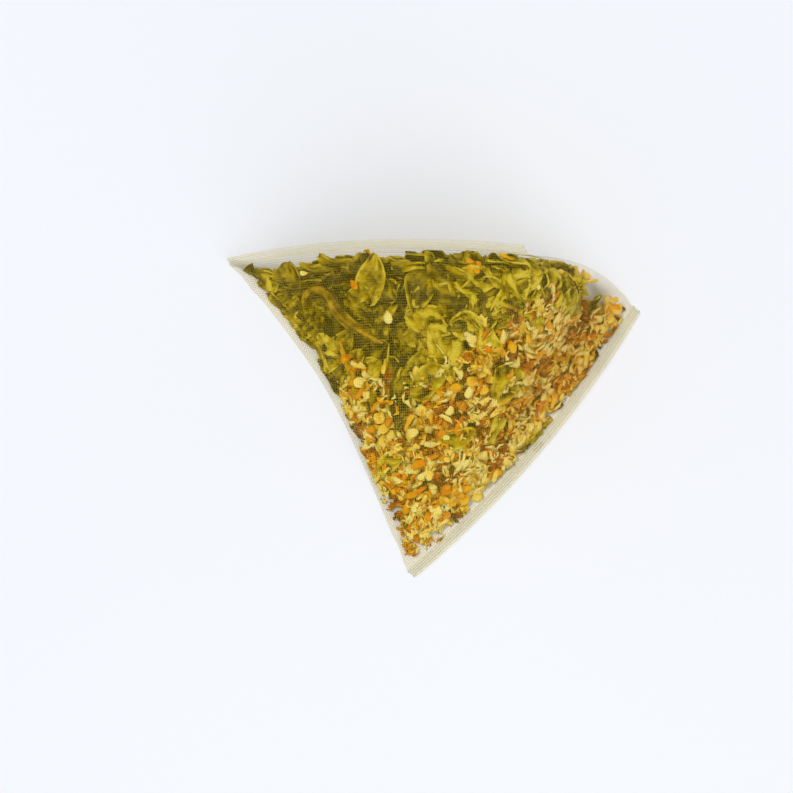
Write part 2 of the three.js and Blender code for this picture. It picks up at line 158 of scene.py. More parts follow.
fins = [skin[0] + near_out * SEAL_WIDTH, skin[-1] + far_out * SEAL_WIDTH]
corners = np.concatenate([skin.reshape(-1, 3), *fins])
bag_low, bag_high = (np.array(corner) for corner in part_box("mesh_bag"))
to_frame = (bag_low + bag_high) / 2 - (corners.min(axis=0) + corners.max(axis=0)) / 2
to_frame[2] = 0
print("gauze between the seals:", round(tube_length, 4), "m, moved to the frame by", to_frame.round(5))

# %% Wrapping flat work on the bag
GAUZE_LIFT = 0.04 * MM
UPPER_LIFT = 0.9 * MM
SKIN_COLUMNS = 160
SKIN_ROWS = 80
SKIN_MERGE = 0.001 * MM
BELLY_PLACE = (0.5, 0.3)
JUST_INSIDE = 1 * MM


def survey(table, t, around):
    """A value of a survey table between its rows and columns."""
    row = np.clip(t, 0, 1) * SURVEY_ROWS
    column = (around % 1) * SURVEY_COLUMNS
    i = np.minimum(row.astype(int), SURVEY_ROWS - 1)
    j = np.minimum(column.astype(int), SURVEY_COLUMNS - 1)
    f = (row - i)[:, None]
    g = (column - j)[:, None]
    low = table[i, j] * (1 - g) + table[i, j + 1] * g
    high = table[i + 1, j] * (1 - g) + table[i + 1, j + 1] * g
    return low * (1 - f) + high * f


def wrap(t, around, depth):
    """Points at a depth under the gauze. The table lifts those of the base to the same depth above it."""
    lists = [np.atleast_1d(np.asarray(value, float)) for value in (t, around, depth)]
    t, around, depth = np.broadcast_arrays(*lists)
    normals = survey(skin_normals, t, around)
    points = survey(skin, t, around) - normals * depth[:, None]
    lift = np.where(normals[:, 2] < 0, depth, np.minimum(depth, UPPER_LIFT))
    points[:, 2] = np.maximum(points[:, 2], lift + GAUZE_LIFT)
    points += np.outer(np.maximum(-t, 0) * tube_length, near_out)
    points += np.outer(np.maximum(t - 1, 0) * tube_length, far_out)
    return points + to_frame


def flat_grid(bm, columns, rows):
    """The vertices of a new grid that runs from 0 to 1 both ways."""
    middle = Matrix.Translation((0.5, 0.5, 0))
    return bmesh.ops.create_grid(bm, x_segments=columns, y_segments=rows, size=0.5, matrix=middle)["verts"]


def move_to(verts, points):
    for vert, point in zip(verts, points):
        vert.co = point


def flat_places(verts):
    places = np.array([vert.co for vert in verts])
    return places[:, 0], places[:, 1]


def new_form(*attributes):
    """An empty bmesh whose vertices carry some named values."""
    bm = bmesh.new()
    for name in attributes:
        bm.verts.layers.float.new(name)
    return bm


def set_values(bm, verts, **values):
    """Writes the named values of vertices."""
    for name, numbers in values.items():
        layer = bm.verts.layers.float[name]
        for vert, number in zip(verts, numbers):
            vert[layer] = number


def add_object(name, bm, material, smooth=True):
    """A finished piece from a bmesh, riding on the bag."""
    mesh = bpy.data.meshes.new(name)
    bm.to_mesh(mesh)
    bm.free()
    mesh.materials.append(material)
    mesh.polygons.foreach_set("use_smooth", [smooth] * len(mesh.polygons))
    piece = bpy.data.objects.new(name, mesh)
    bpy.context.scene.collection.objects.link(piece)
    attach(piece, "root")
    return piece


skin_form = bmesh.new()
skin_verts = flat_grid(skin_form, SKIN_COLUMNS, SKIN_ROWS)
skin_x, skin_y = flat_places(skin_verts)
move_to(skin_verts, wrap(skin_y, skin_x, 0))
bmesh.ops.remove_doubles(skin_form, verts=skin_form.verts, dist=SKIN_MERGE)
skin_tree = BVHTree.FromBMesh(skin_form)
top_centre = Vector(wrap(*BELLY_PLACE, JUST_INSIDE)[0])
nearest, facing, _, _ = skin_tree.find_nearest(top_centre)
SKIN_SIDE = 1 if (nearest - top_centre).dot(facing) > 0 else -1
skin_form.free()
print("skin survey:", SURVEY_ROWS, "rows by", SURVEY_COLUMNS, "columns, side", SKIN_SIDE)

# %% [markdown]
# ## Camera, light and table
# The photograph looks straight down. A long lens from 0.9 m keeps the outline true, and the photograph's own
# scale sets how much of the table shows. A soft sun from the upper left, a weak fill from the other side
# and a pale sky light the bag at a plain level, so that each colour shows about as it is written.

# %% Camera
PHOTO_SIZE = 793
PHOTO_PIXELS_PER_M = 6.1 / MM
PHOTO_ORIGIN = np.array([435, 403])
CAMERA_HEIGHT = 0.9
SENSOR = 36
MEAN_HEIGHT_SHARE = 0.35


def photo_place(pixel_x, pixel_y):
    """The place on the table, in the frame, that a pixel of the photograph shows."""
    right = (pixel_x - PHOTO_ORIGIN[0]) / PHOTO_PIXELS_PER_M
    up = (PHOTO_ORIGIN[1] - pixel_y) / PHOTO_PIXELS_PER_M
    return np.array([right, up]) + to_frame[:2]


mean_height = MEAN_HEIGHT_SHARE * cad_high[2]
seen_skin = skin + to_frame
seen_scale = PHOTO_PIXELS_PER_M * (CAMERA_HEIGHT - mean_height) / (CAMERA_HEIGHT - seen_skin[:, :, 2])
seen_from = photo_place(PHOTO_SIZE / 2, PHOTO_SIZE / 2)
seen_x = PHOTO_SIZE / 2 + (seen_skin[:, :, 0] - seen_from[0]) * seen_scale
seen_y = PHOTO_SIZE / 2 - (seen_skin[:, :, 1] - seen_from[1]) * seen_scale
hidden = skin_normals[:, :, 2] < 0


def cloth_place(pixel_x, pixel_y):
    """Where on the gauze, along and around the tube, a pixel of the photograph looks."""
    miss = np.hypot(seen_x - pixel_x, seen_y - pixel_y) + hidden * PHOTO_SIZE
    row, column = np.unravel_index(np.argmin(miss), miss.shape)
    return row / SURVEY_ROWS, column / SURVEY_COLUMNS


camera_data = bpy.data.cameras.new("overhead")
camera_data.sensor_width = SENSOR
camera_data.lens = SENSOR * (CAMERA_HEIGHT - mean_height) * PHOTO_PIXELS_PER_M / PHOTO_SIZE
camera = bpy.data.objects.new("overhead", camera_data)
camera.location = (*seen_from, CAMERA_HEIGHT)
bpy.context.scene.collection.objects.link(camera)
bpy.context.scene.camera = camera
bpy.context.scene.view_settings.view_transform = "Standard"
print("camera lens:", round(camera_data.lens, 1), "mm")

# %% Colours and nodes
WET_SPECULAR = 0.12


def colour(red, green, blue):
    """A colour as it is read on a screen, from 0 to 255, in the linear values that nodes take."""
    shares = (red / 255, green / 255, blue / 255)
    linear = [s / 12.92 if s <= 0.04045 else ((s + 0.055) / 1.055) ** 2.4 for s in shares]
    return (*linear, 1)


def new_finish(name):
    """A material with its node tree and its main shader."""
    material = bpy.data.materials.new(name)
    material.use_nodes = True
    return material, material.node_tree, material.node_tree.nodes["Principled BSDF"]


def add_noise(tree, size, detail=3):
    """Noise in the piece's own coordinates, with blotches of a size in metres."""
    place = tree.nodes.new("ShaderNodeTexCoord")
    texture = tree.nodes.new("ShaderNodeTexNoise")
    texture.inputs["Scale"].default_value = 1 / size
    texture.inputs["Detail"].default_value = detail
    tree.links.new(place.outputs["Object"], texture.inputs["Vector"])
    return texture.outputs["Fac"]


def add_attribute(tree, name):
    reader = tree.nodes.new("ShaderNodeAttribute")
    reader.attribute_name = name
    return reader.outputs["Fac"]


def add_ramp(tree, value, stops):
    """Colours along a value from 0 to 1. Each stop is a place and a colour."""
    ramp = tree.nodes.new("ShaderNodeValToRGB")
    while len(ramp.color_ramp.elements) < len(stops):
        ramp.color_ramp.elements.new(0.5)
    for element, (place, shade) in zip(ramp.color_ramp.elements, stops):
        element.position = place
        element.color = shade
    tree.links.new(value, ramp.inputs["Fac"])
    return ramp.outputs["Color"]


def add_math(tree, operation, first, second):
    """Two values, sockets or numbers, put together."""
    step = tree.nodes.new("ShaderNodeMath")
    step.operation = operation
    for socket, value in zip(step.inputs, (first, second)):
        if isinstance(value, (int, float)):
            socket.default_value = value
        else:
            tree.links.new(value, socket)
    return step.outputs["Value"]


def add_mix(tree, share, first, second):
    """A mix of two colours, on the colour sockets of a Mix node."""
    mix = tree.nodes.new("ShaderNodeMix")
    mix.data_type = "RGBA"
    tree.links.new(share, mix.inputs["Factor"])
    for socket, shade in ((mix.inputs[6], first), (mix.inputs[7], second)):
        if isinstance(shade, tuple):
            socket.default_value = shade
        else:
            tree.links.new(shade, socket)
    return mix.outputs[2]


def add_bump(tree, shader, height, distance, strength):
    bump = tree.nodes.new("ShaderNodeBump")
    bump.inputs["Strength"].default_value = strength
    bump.inputs["Distance"].default_value = distance
    tree.links.new(height, bump.inputs["Height"])
    tree.links.new(bump.outputs["Normal"], shader.inputs["Normal"])


def add_range(tree, value, low, high):
    """A value from 0 to 1 spread between two others."""
    spread = tree.nodes.new("ShaderNodeMapRange")
    spread.inputs["To Min"].default_value = low
    spread.inputs["To Max"].default_value = high
    tree.links.new(value, spread.inputs["Value"])
    return spread.outputs["Result"]


def set_sockets(tree, shader, sockets):
    """Gives named sockets of a shader their values: another node's output, a number or a colour."""
    for name, value in sockets.items():
        if isinstance(value, bpy.types.NodeSocket):
            tree.links.new(value, shader.inputs[name])
        else:
            shader.inputs[name].default_value = value


print("colour of white:", colour(255, 255, 255))

# %% Table and light
TABLE_SIZE = 6
TABLE_BLOTCH = 0.4
SUN_STRENGTH = 1.5
SUN_SOFTNESS = 12 * DEGREE
SUN_FROM = Vector((-0.34, 0.3, 1.0))
FILL_STRENGTH = 0.85
FILL_SOFTNESS = 60 * DEGREE
FILL_FROM = Vector((0.6, -0.5, 0.8))
SKY_STRENGTH = 0.4

table_finish, table_tree, table_shader = new_finish("pale_table")
table_tone = add_ramp(
    table_tree,
    add_noise(table_tree, TABLE_BLOTCH),
    [(0.3, colour(240, 242, 247)), (0.7, colour(246, 248, 252))],
)
set_sockets(table_tree, table_shader, {"Base Color": table_tone, "Roughness": 0.85})
table_form = bmesh.new()
bmesh.ops.create_grid(table_form, x_segments=4, y_segments=4, size=TABLE_SIZE / 2)
table_mesh = bpy.data.meshes.new("table")
table_form.to_mesh(table_mesh)
table_form.free()
table_mesh.materials.append(table_finish)
table = bpy.data.objects.new("table", table_mesh)
bpy.context.scene.collection.objects.link(table)


def add_sun(name, strength, softness, coming_from):
    lamp = bpy.data.lights.new(name, "SUN")
    lamp.energy = strength
    lamp.angle = softness
    sun = bpy.data.objects.new(name, lamp)
    sun.rotation_euler = coming_from.to_track_quat("Z", "Y").to_euler()
    bpy.context.scene.collection.objects.link(sun)


add_sun("window", SUN_STRENGTH, SUN_SOFTNESS, SUN_FROM)
add_sun("fill", FILL_STRENGTH, FILL_SOFTNESS, FILL_FROM)

world = bpy.data.worlds.new("pale_room")
world.use_nodes = True
bpy.context.scene.world = world
world_tree = world.node_tree
sky = world_tree.nodes["Background"]
set_sockets(world_tree, sky, {"Color": colour(250, 252, 255), "Strength": SKY_STRENGTH})
backdrop = world_tree.nodes.new("ShaderNodeBackground")
set_sockets(world_tree, backdrop, {"Color": colour(244, 246, 250)})
rays = world_tree.nodes.new("ShaderNodeLightPath")
seen = add_math(world_tree, "ADD", rays.outputs["Is Camera Ray"], rays.outputs["Is Glossy Ray"])
seen = add_math(world_tree, "ADD", seen, rays.outputs["Is Transmission Ray"])
around_bag = world_tree.nodes.new("ShaderNodeMixShader")
world_tree.links.new(seen, around_bag.inputs["Fac"])
world_tree.links.new(sky.outputs["Background"], around_bag.inputs[1])
world_tree.links.new(backdrop.outputs["Background"], around_bag.inputs[2])
world_tree.links.new(around_bag.outputs["Shader"], world_tree.nodes["World Output"].inputs["Surface"])
print("sun:", SUN_STRENGTH, "fill:", FILL_STRENGTH, "sky:", SKY_STRENGTH)

# %% [markdown]
# ## Woven gauze
# The gauze is a plain weave of nylon threads, 0.4 mm apart. A see-through sheet with a painted grid would be
# quicker, but it has no threads to catch the light. Here each thread is a narrow ribbon, a grid of one row,
# that goes over and under its neighbours. The strip is woven flat, from one edge of the lap to the other and
# from weld to weld, and then wrapped on the form.

# %% Threads of the gauze
THREAD_PITCH = 0.4 * MM
THREAD_WIDTH = 0.16 * MM
THREAD_WAVE = 0.025 * MM
LAP_WIDTH = 2.0 * MM
WRINKLE_DEPTH = 0.3 * MM
CREASES = 9
CREASE_SWAY = 1.3
CREASE_FADE = 25
GAUZE_BLOTCH = 6 * MM
GAUZE_OPACITY = 0.17

gauze_finish, gauze_tree, gauze_shader = new_finish("nylon_gauze")
gauze_tone = add_ramp(
    gauze_tree,
    add_noise(gauze_tree, GAUZE_BLOTCH),
    [(0.35, colour(210, 186, 48)), (0.65, colour(228, 206, 84))],
)
gauze_sockets = {
    "Base Color": gauze_tone,
    "Roughness": add_range(gauze_tree, add_noise(gauze_tree, 3 * MM), 0.25, 0.5),
    "Specular IOR Level": WET_SPECULAR,
    "Alpha": GAUZE_OPACITY,
}
set_sockets(gauze_tree, gauze_shader, gauze_sockets)


def wrinkle(t, around):
    """How far slack gauze dents: creases run in from the corners, and the full belly is taut."""
    slack = (2 * t - 1) ** 2
    turns = CREASES * around + CREASE_SWAY * np.sin(2 * math.pi * t)
    creases = 0.5 + 0.5 * np.sin(2 * math.pi * turns)
    return WRINKLE_DEPTH * slack * creases * np.clip(t * (1 - t) * CREASE_FADE, 0, 1)


def weave(bm, across_count, along_count, thread_at):
    """Threads side by side. Each is a ribbon with one step for every thread that it crosses."""
    for k in range(across_count):
        verts = flat_grid(bm, along_count, 1)
        step, side = flat_places(verts)
        crossing = np.rint(step * along_count).astype(int)
        over = np.where((crossing + k) % 2 == 0, THREAD_WAVE, -THREAD_WAVE)
        t, around, lift = thread_at(k, step, (side - 0.5) * THREAD_WIDTH, over)
        move_to(verts, wrap(t, around, wrinkle(t, around) - lift))


cloth_width = GIRTH + LAP_WIDTH
cloth_length = tube_length + 2 * SEAL_WIDTH
warp_count = int(cloth_width / THREAD_PITCH)
weft_count = int(cloth_length / THREAD_PITCH)


def warp_at(k, step, offset, over):
    around = SEAM_AROUND + ((k + 0.5) / warp_count * cloth_width + offset) / GIRTH
    t = (step * cloth_length - SEAL_WIDTH) / tube_length
    return t, around, over


def weft_at(k, step, offset, over):
    t = ((k + 0.5) / weft_count * cloth_length + offset - SEAL_WIDTH) / tube_length
    around = SEAM_AROUND + step * cloth_width / GIRTH
    return t, around, -over


threads = bmesh.new()
weave(threads, warp_count, weft_count, warp_at)
weave(threads, weft_count, warp_count, weft_at)
gauze = add_object("gauze", threads, gauze_finish, smooth=False)
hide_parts("mesh_bag")
print("gauze:", warp_count, "by", weft_count, "threads,", len(gauze.data.polygons), "faces")

# %% [markdown]
# ## Welds
# The hot jaws melt the gauze to a clear strip along each seal and along the lap. A strip is a grid of a few
# rows: thick where the layers meet, thin in the pressed film, and thick again in the bead at the cut edge.
# That profile gives the bright double line that welded gauze shows. The two faces of a strip meet along its
# rim and are merged there.

# %% Weld strips
WELD_FILM = 0.12 * MM
WELD_BEAD = 0.3 * MM
WELD_STEPS = 116
WELD_ROWS = 8
LAP_ROWS = 4
WELD_MERGE = 0.002 * MM
WELD_EDGE_SLOPE = 12
WELD_END_SLOPE = 200
LAP_EDGE_SLOPE = 8
INNER_BEAD = (0.12, 0.12)
EDGE_BEAD = (0.9, 0.1)
JAW_PITCH = 1.0 * MM
JAW_RELIEF = 0.03 * MM

weld_finish, weld_tree, weld_shader = new_finish("clear_weld")
weld_tone = add_ramp(
    weld_tree,
    add_noise(weld_tree, 2 * MM),
    [(0.3, colour(232, 220, 150)), (0.7, colour(248, 242, 200))],
)
weld_opacity = add_range(weld_tree, add_attribute(weld_tree, "bead"), 0.04, 0.3)
set_sockets(weld_tree, weld_shader, {"Base Color": weld_tone, "Roughness": 0.18, "Alpha": weld_opacity})
add_bump(weld_tree, weld_shader, add_noise(weld_tree, 0.4 * MM), 0.05 * MM, 0.5)


def weld_bead(across):
    """How much of a bead a weld has, from the bag at 0 to the cut edge at 1."""
    beads = [np.exp(-(((across - place) / width) ** 2)) for place, width in (INNER_BEAD, EDGE_BEAD)]
    return np.maximum(*beads)


def off_the_rim(place, slope):
    """0 at both ends of a way from 0 to 1, rising to 1 between them."""
    return np.clip(np.minimum(place, 1 - place) * slope, 0, 1)


def weld_half_thickness(across, along):
    """Half the thickness of a weld, with the marks of the jaws in its film."""
    bead = weld_bead(across)
    jaw = JAW_RELIEF * np.sin(2 * math.pi * along / JAW_PITCH) * (1 - bead)
    return lerp(WELD_FILM, WELD_BEAD, bead) / 2 + jaw


def add_seal(bm, middle, along, out, face):
    """Both faces of a seal's weld, joined along its rim."""
    for side in (1, -1):
        verts = flat_grid(bm, WELD_STEPS, WELD_ROWS)
        share, across = flat_places(verts)
        place = (share - 0.5) * SEAL_LENGTH
        bow = SEAL_BOW * (1 - (2 * share - 1) ** 2)
        rim = off_the_rim(across, WELD_EDGE_SLOPE) * off_the_rim(share, WELD_END_SLOPE)
        lift = side * weld_half_thickness(across, place) * rim
        points = middle + np.outer(place, along) + np.outer(bow + across * SEAL_WIDTH, out)
        move_to(verts, points + np.outer(lift, face) + to_frame)
        set_values(bm, verts, bead=weld_bead(across))


welds = new_form("bead")
add_seal(welds, near_middle, near_along, near_out, np.array([0, 0, 1]))
add_seal(welds, far_middle, far_along, far_out, unit(np.cross(far_along, far_out)))
for side in (1, -1):
    lap_verts = flat_grid(welds, WELD_STEPS, LAP_ROWS)
    lap_along, lap_across = flat_places(lap_verts)
    lap_around = SEAM_AROUND + lap_across * LAP_WIDTH / GIRTH
    lap_rim = off_the_rim(lap_across, LAP_EDGE_SLOPE)
    move_to(lap_verts, wrap(lap_along, lap_around, WELD_FILM / 2 + side * WELD_FILM / 2 * lap_rim))
bmesh.ops.remove_doubles(welds, verts=welds.verts, dist=WELD_MERGE)
bmesh.ops.recalc_face_normals(welds, faces=welds.faces)
weld_strips = add_object("weld_strips", welds, weld_finish)
print("welds:", len(weld_strips.data.polygons), "faces")

# %% [markdown]
# ## Keeping the filling inside
# Wet leaves and petals press against the gauze from inside. Each piece of the filling is first laid where it
# belongs, and then every point of it that comes too close to the gauze, or through it, is pushed back.

# %% Tucking in
FILLING_CLEARANCE = 0.45 * MM
FOLD_CLEARANCE = 2.0 * MM
BASE_CLEARANCE = 0.3 * MM
THIN_ROOM = 0.5 * MM
TUCK_ROUNDS = 3
AXIS_START = 0.08
AXIS_END = 0.92
PAST_FOLD = 1.3
LEAST_UPWARD = 0.12
TEST_DEPTH = 6 * MM
axis_start = Vector(near_middle + to_frame)
axis_line = Vector(between_seals)


def towards_axis(spot):
    """The way from a place on the gauze to the line between the middles of the two seals."""
    share = (spot - axis_start).dot(axis_line) / axis_line.length_squared
    return (axis_start + axis_line * min(max(share, AXIS_START), AXIS_END) - spot).normalized()


def room_inside(spot, inward):
    """How far away the opposite wall of the bag is, straight in from a spot on the gauze."""
    _, _, _, distance = skin_tree.ray_cast(spot + inward * GAUZE_LIFT, inward)
    return distance or 0.0


def tuck_in(bm):
    """Pushes the points of a bmesh back under the gauze: square to it, or inwards where a fold ends the bag.

    It gives back the points that a fold has turned in."""
    folded = set()
    for _ in range(TUCK_ROUNDS):
        for vert in bm.verts:
            spot, facing, _, distance = skin_tree.find_nearest(vert.co)
            inward = facing * -SKIN_SIDE
            depth = (vert.co - spot).dot(inward)
            if depth < FILLING_CLEARANCE:
                past_fold = distance > PAST_FOLD * abs(depth)
                inside = room_inside(spot, inward)
                if past_fold or inside < THIN_ROOM:
                    vert.co = spot + towards_axis(spot) * FOLD_CLEARANCE
                    folded.add(vert)
                else:
                    vert.co = spot + inward * min(FILLING_CLEARANCE, inside / 2)
            vert.co.z = max(vert.co.z, BASE_CLEARANCE)
    return list(folded)


def under_gauze(point):
    """How deep a point lies under the nearest gauze. It is negative outside the bag."""
    spot, facing, _, _ = skin_tree.find_nearest(point)
    return (spot - point).dot(facing) * SKIN_SIDE


def room(t, around):
    """How far away the opposite wall of the bag is, straight in from a place on the gauze."""
    spot, facing, _, _ = skin_tree.find_nearest(Vector(wrap(t, around, 0)[0]))
    return room_inside(spot, facing * -SKIN_SIDE)


survey_t = np.linspace(0, 1, SURVEY_ROWS + 1)
faces_up = skin_normals[:, :, 2] > LEAST_UPWARD
upper_start = faces_up.argmax(axis=1) / SURVEY_COLUMNS
upper_end = 1 - faces_up[:, ::-1].argmax(axis=1) / SURVEY_COLUMNS


def draw_around(source, t, margin, is_upper):
    """A drawn place around the tube, on its upper side or on its base, that keeps a margin to the folds."""
    start = np.interp(t, survey_t, upper_start)
    end = np.interp(t, survey_t, upper_end)
    gap = margin / GIRTH
    if is_upper:
        return float(source.uniform(start + gap, end - gap))
    return float(source.uniform(end + gap, 1 + start - gap))


middle_depth = under_gauze(Vector(wrap(*BELLY_PLACE, TEST_DEPTH)[0]))
print("a point", TEST_DEPTH, "m under the belly lies", round(middle_depth, 5), "m from the nearest gauze")

# %% [markdown]
# ## Leaf stalks
# A stalk is a bent twig with ridges along it, thickest in the middle. It is a grid rolled to a tube: one way
# of the grid runs along the route, the other goes round it, and the seam is merged. A place on a route is
# given along and around the bag's tube. The stalks come before the leaves, which are pressed down under them.

# %% Stalks
HOOKED_STALK_DIAMETER = 1.8 * MM
STRAIGHT_STALK_DIAMETER = 1.1 * MM
HOOKED_STALK_ROUTE = (
    (0.825, 0.643),
    (0.86, 0.635),
    (0.875, 0.615),
    (0.855, 0.597),
    (0.815, 0.587),
    (0.77, 0.567),
    (0.735, 0.54),
    (0.71, 0.51),
)
STRAIGHT_STALK_ROUTE = ((0.73, 0.59), (0.67, 0.577), (0.61, 0.562))
HOOKED_STALK_TONE = -0.05
STRAIGHT_STALK_TONE = 0.22
STALK_TOP = 0.9 * MM
STALK_STEPS = 72
STALK_SIDES = 24
STALK_GAP = 0.25 * MM
GROOVE_SLOPE = 1.2
GROOVE_REACH = 2.5 * MM
STALK_TWIST = 0.17
STALK_END_SLOPE = 14
RIDGE_SHADE = 0.12
TUBE_MERGE = 0.004 * MM
NEARLY_UP = np.array([0.3, 0.2, 1.0])

GOLDEN = colour(255, 214, 90)
stalk_finish, stalk_tree, stalk_shader = new_finish("wet_stalk")
stalk_blotch = add_noise(stalk_tree, 1.2 * MM, 5)
stalk_level = add_math(stalk_tree, "ADD", stalk_blotch, add_attribute(stalk_tree, "tone"))
# Painted highlight and shade: the stalk's ridges are lighter and its grooves darker.
stalk_ridge_shade = add_math(stalk_tree, "MULTIPLY", add_attribute(stalk_tree, "ridge"), RIDGE_SHADE)
stalk_tone = add_ramp(
    stalk_tree,
    add_math(stalk_tree, "ADD", stalk_level, stalk_ridge_shade),
    [(0.3, colour(80, 59, 2)), (0.5, colour(146, 112, 5)), (0.72, colour(202, 158, 26))],
)
stalk_sockets = {
    "Base Color": stalk_tone,
    "Roughness": 0.45,
    "Specular IOR Level": WET_SPECULAR,
    "Specular Tint": GOLDEN,
}
set_sockets(stalk_tree, stalk_shader, stalk_sockets)
add_bump(stalk_tree, stalk_shader, add_noise(stalk_tree, 0.5 * MM, 5), 0.3 * MM, 0.8)


def smooth_route(points, steps):
    """A Catmull-Rom curve through points."""
    points = np.array(points)
    ends = np.concatenate([[2 * points[0] - points[1]], points, [2 * points[-1] - points[-2]]])
    route = []
    for place in np.linspace(0, len(points) - 1, steps):
        i = min(int(place), len(points) - 2)
        f = place - i
        p0, p1, p2, p3 = ends[i : i + 4]
        bend = 2 * p0 - 5 * p1 + 4 * p2 - p3
        swing = 3 * p1 - p0 - 3 * p2 + p3
        route.append(p1 + 0.5 * f * (p2 - p0 + f * (bend + f * swing)))
    return np.array(route)


def add_tube(bm, route, radius_at, sides, twist=0.0):
    """A tube along a route. Its radius follows the route, and a twist of ridges winds around it."""
    route = np.array(route)
    ahead = np.gradient(route, axis=0)
    ahead /= np.linalg.norm(ahead, axis=1, keepdims=True)
    across = np.cross(ahead, NEARLY_UP)
    across /= np.linalg.norm(across, axis=1, keepdims=True)
    upward = np.cross(across, ahead)
    steps = len(route) - 1
    verts = flat_grid(bm, steps, sides)
    along, turn = flat_places(verts)
    place = np.rint(along * steps).astype(int)
    angle = 2 * math.pi * turn
    ridges = np.cos(2 * angle + 11 * along) + 0.6 * np.cos(5 * angle - 7 * along)
    radius = radius_at(along) * (1 + twist * ridges)
    sideways = across[place] * (radius * np.cos(angle))[:, None]
    ring = sideways + upward[place] * (radius * np.sin(angle))[:, None]
    move_to(verts, route[place] + ring)
    if "ridge" in bm.verts.layers.float:
        set_values(bm, verts, ridge=ridges)
    bmesh.ops.remove_doubles(bm, verts=verts, dist=TUBE_MERGE)


def stalk_radius(diameter):
    """The radius of a stalk along its route, thinner towards its ends and closed there."""

    def radius_at(along):
        ends = off_the_rim(along, STALK_END_SLOPE) ** 0.5
        swell = 0.72 + 0.28 * np.sin(math.pi * along**1.3)
        return diameter / 2 * ends * swell

    return radius_at


def press_under_stalks(bm):
    """Pushes what lies over a stalk down beside it, so that the stalk lies in a groove."""
    for vert in bm.verts:
        gaps = np.hypot(*(stalk_points[:, :2] - vert.co[:2]).T)
        nearest_step = gaps.argmin()
        height, radius = stalk_points[nearest_step, 2:]
        beside = max(gaps[nearest_step] - radius, 0)
        groove = height - radius - STALK_GAP + GROOVE_SLOPE * beside
        if beside < GROOVE_REACH:
            vert.co.z = max(min(vert.co.z, groove), BASE_CLEARANCE)


stalk_plans = [
    (HOOKED_STALK_ROUTE, HOOKED_STALK_DIAMETER, HOOKED_STALK_TONE),
    (STRAIGHT_STALK_ROUTE, STRAIGHT_STALK_DIAMETER, STRAIGHT_STALK_TONE),
]
stalk_points = []
for number, (places, diameter, tone) in enumerate(stalk_plans, start=1):
    bends = [wrap(*place, STALK_TOP + diameter / 2)[0] for place in places]
    stalk_form = new_form("ridge", "tone")
    route = smooth_route(bends, STALK_STEPS)
    stalk_points.extend([*point, diameter / 2] for point in route)
    add_tube(stalk_form, route, stalk_radius(diameter), STALK_SIDES, STALK_TWIST)
    set_values(stalk_form, stalk_form.verts, tone=[tone] * len(stalk_form.verts))
    bmesh.ops.recalc_face_normals(stalk_form, faces=stalk_form.faces)
    stalk = add_object(f"stalk_{number}", stalk_form, stalk_finish)
    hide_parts(f"leaf_stalk_{number}")
stalk_points = np.array(stalk_points)
print("stalks:", len(stalk_plans), "along", len(stalk_points), "points")

# %% [markdown]
# ## Steeped tea leaves
# A steeped leaf opens to a pointed oval with a toothed edge, a midrib and side veins, and stays crumpled from
# rolling. Each is a grid on one patch of the bag, shaped by its outline and dented by veins, folds and noise,
# and Solidify gives it its thickness. The folds are also kept as an attribute, which paints highlights on the
# ridges and shade in the hollows into the colour.

# %% Finish of the leaves
LEAF_BLOTCH = 2.5 * MM
LEAF_GRAIN = 0.9 * MM
LEAF_FOLD_SHADE = 0.7
leaf_finish, leaf_tree, leaf_shader = new_finish("steeped_leaf")
# The fold attribute paints highlights on the ridges of each leaf and shade in its hollows.
leaf_fold_shading = add_attribute(leaf_tree, "fold")
# The tone attribute holds each leaf's own tone, with painted shade for deep pieces and pieces by the stalks.
leaf_tone_and_shade = add_attribute(leaf_tree, "tone")
leaf_vein = add_attribute(leaf_tree, "vein")
leaf_blotch = add_noise(leaf_tree, LEAF_BLOTCH, 5)
leaf_level = add_math(leaf_tree, "MULTIPLY", leaf_fold_shading, LEAF_FOLD_SHADE)
leaf_level = add_math(leaf_tree, "ADD", leaf_level, add_range(leaf_tree, leaf_blotch, -0.22, 0.22))
leaf_grain = add_range(leaf_tree, add_noise(leaf_tree, LEAF_GRAIN, 6), -0.3, 0.3)
leaf_level = add_math(leaf_tree, "ADD", leaf_level, leaf_grain)
leaf_level = add_math(leaf_tree, "ADD", leaf_level, leaf_tone_and_shade)
leaf_green = add_ramp(
    leaf_tree,
    leaf_level,
    [
        (0.05, colour(40, 31, 1)),
        (0.28, colour(98, 80, 1)),
        (0.5, colour(158, 131, 2)),
        (0.75, colour(200, 170, 12)),
        (1.0, colour(234, 208, 62)),
    ],
)
leaf_colour = add_mix(leaf_tree, leaf_vein, leaf_green, colour(176, 152, 34))
leaf_sockets = {
    "Base Color": leaf_colour,
    "Roughness": add_range(leaf_tree, add_noise(leaf_tree, 1.5 * MM), 0.25, 0.55),
    "Specular IOR Level": WET_SPECULAR,
    "Specular Tint": GOLDEN,
    "Subsurface Weight": 0.06,
    "Subsurface Radius": (0.6 * MM, 0.5 * MM, 0.1 * MM),
    "Subsurface Scale": 1,
}
set_sockets(leaf_tree, leaf_shader, leaf_sockets)
add_bump(leaf_tree, leaf_shader, add_noise(leaf_tree, 1.0 * MM, 6), 0.8 * MM, 0.9)
print("leaf finish:", len(leaf_tree.nodes), "nodes")

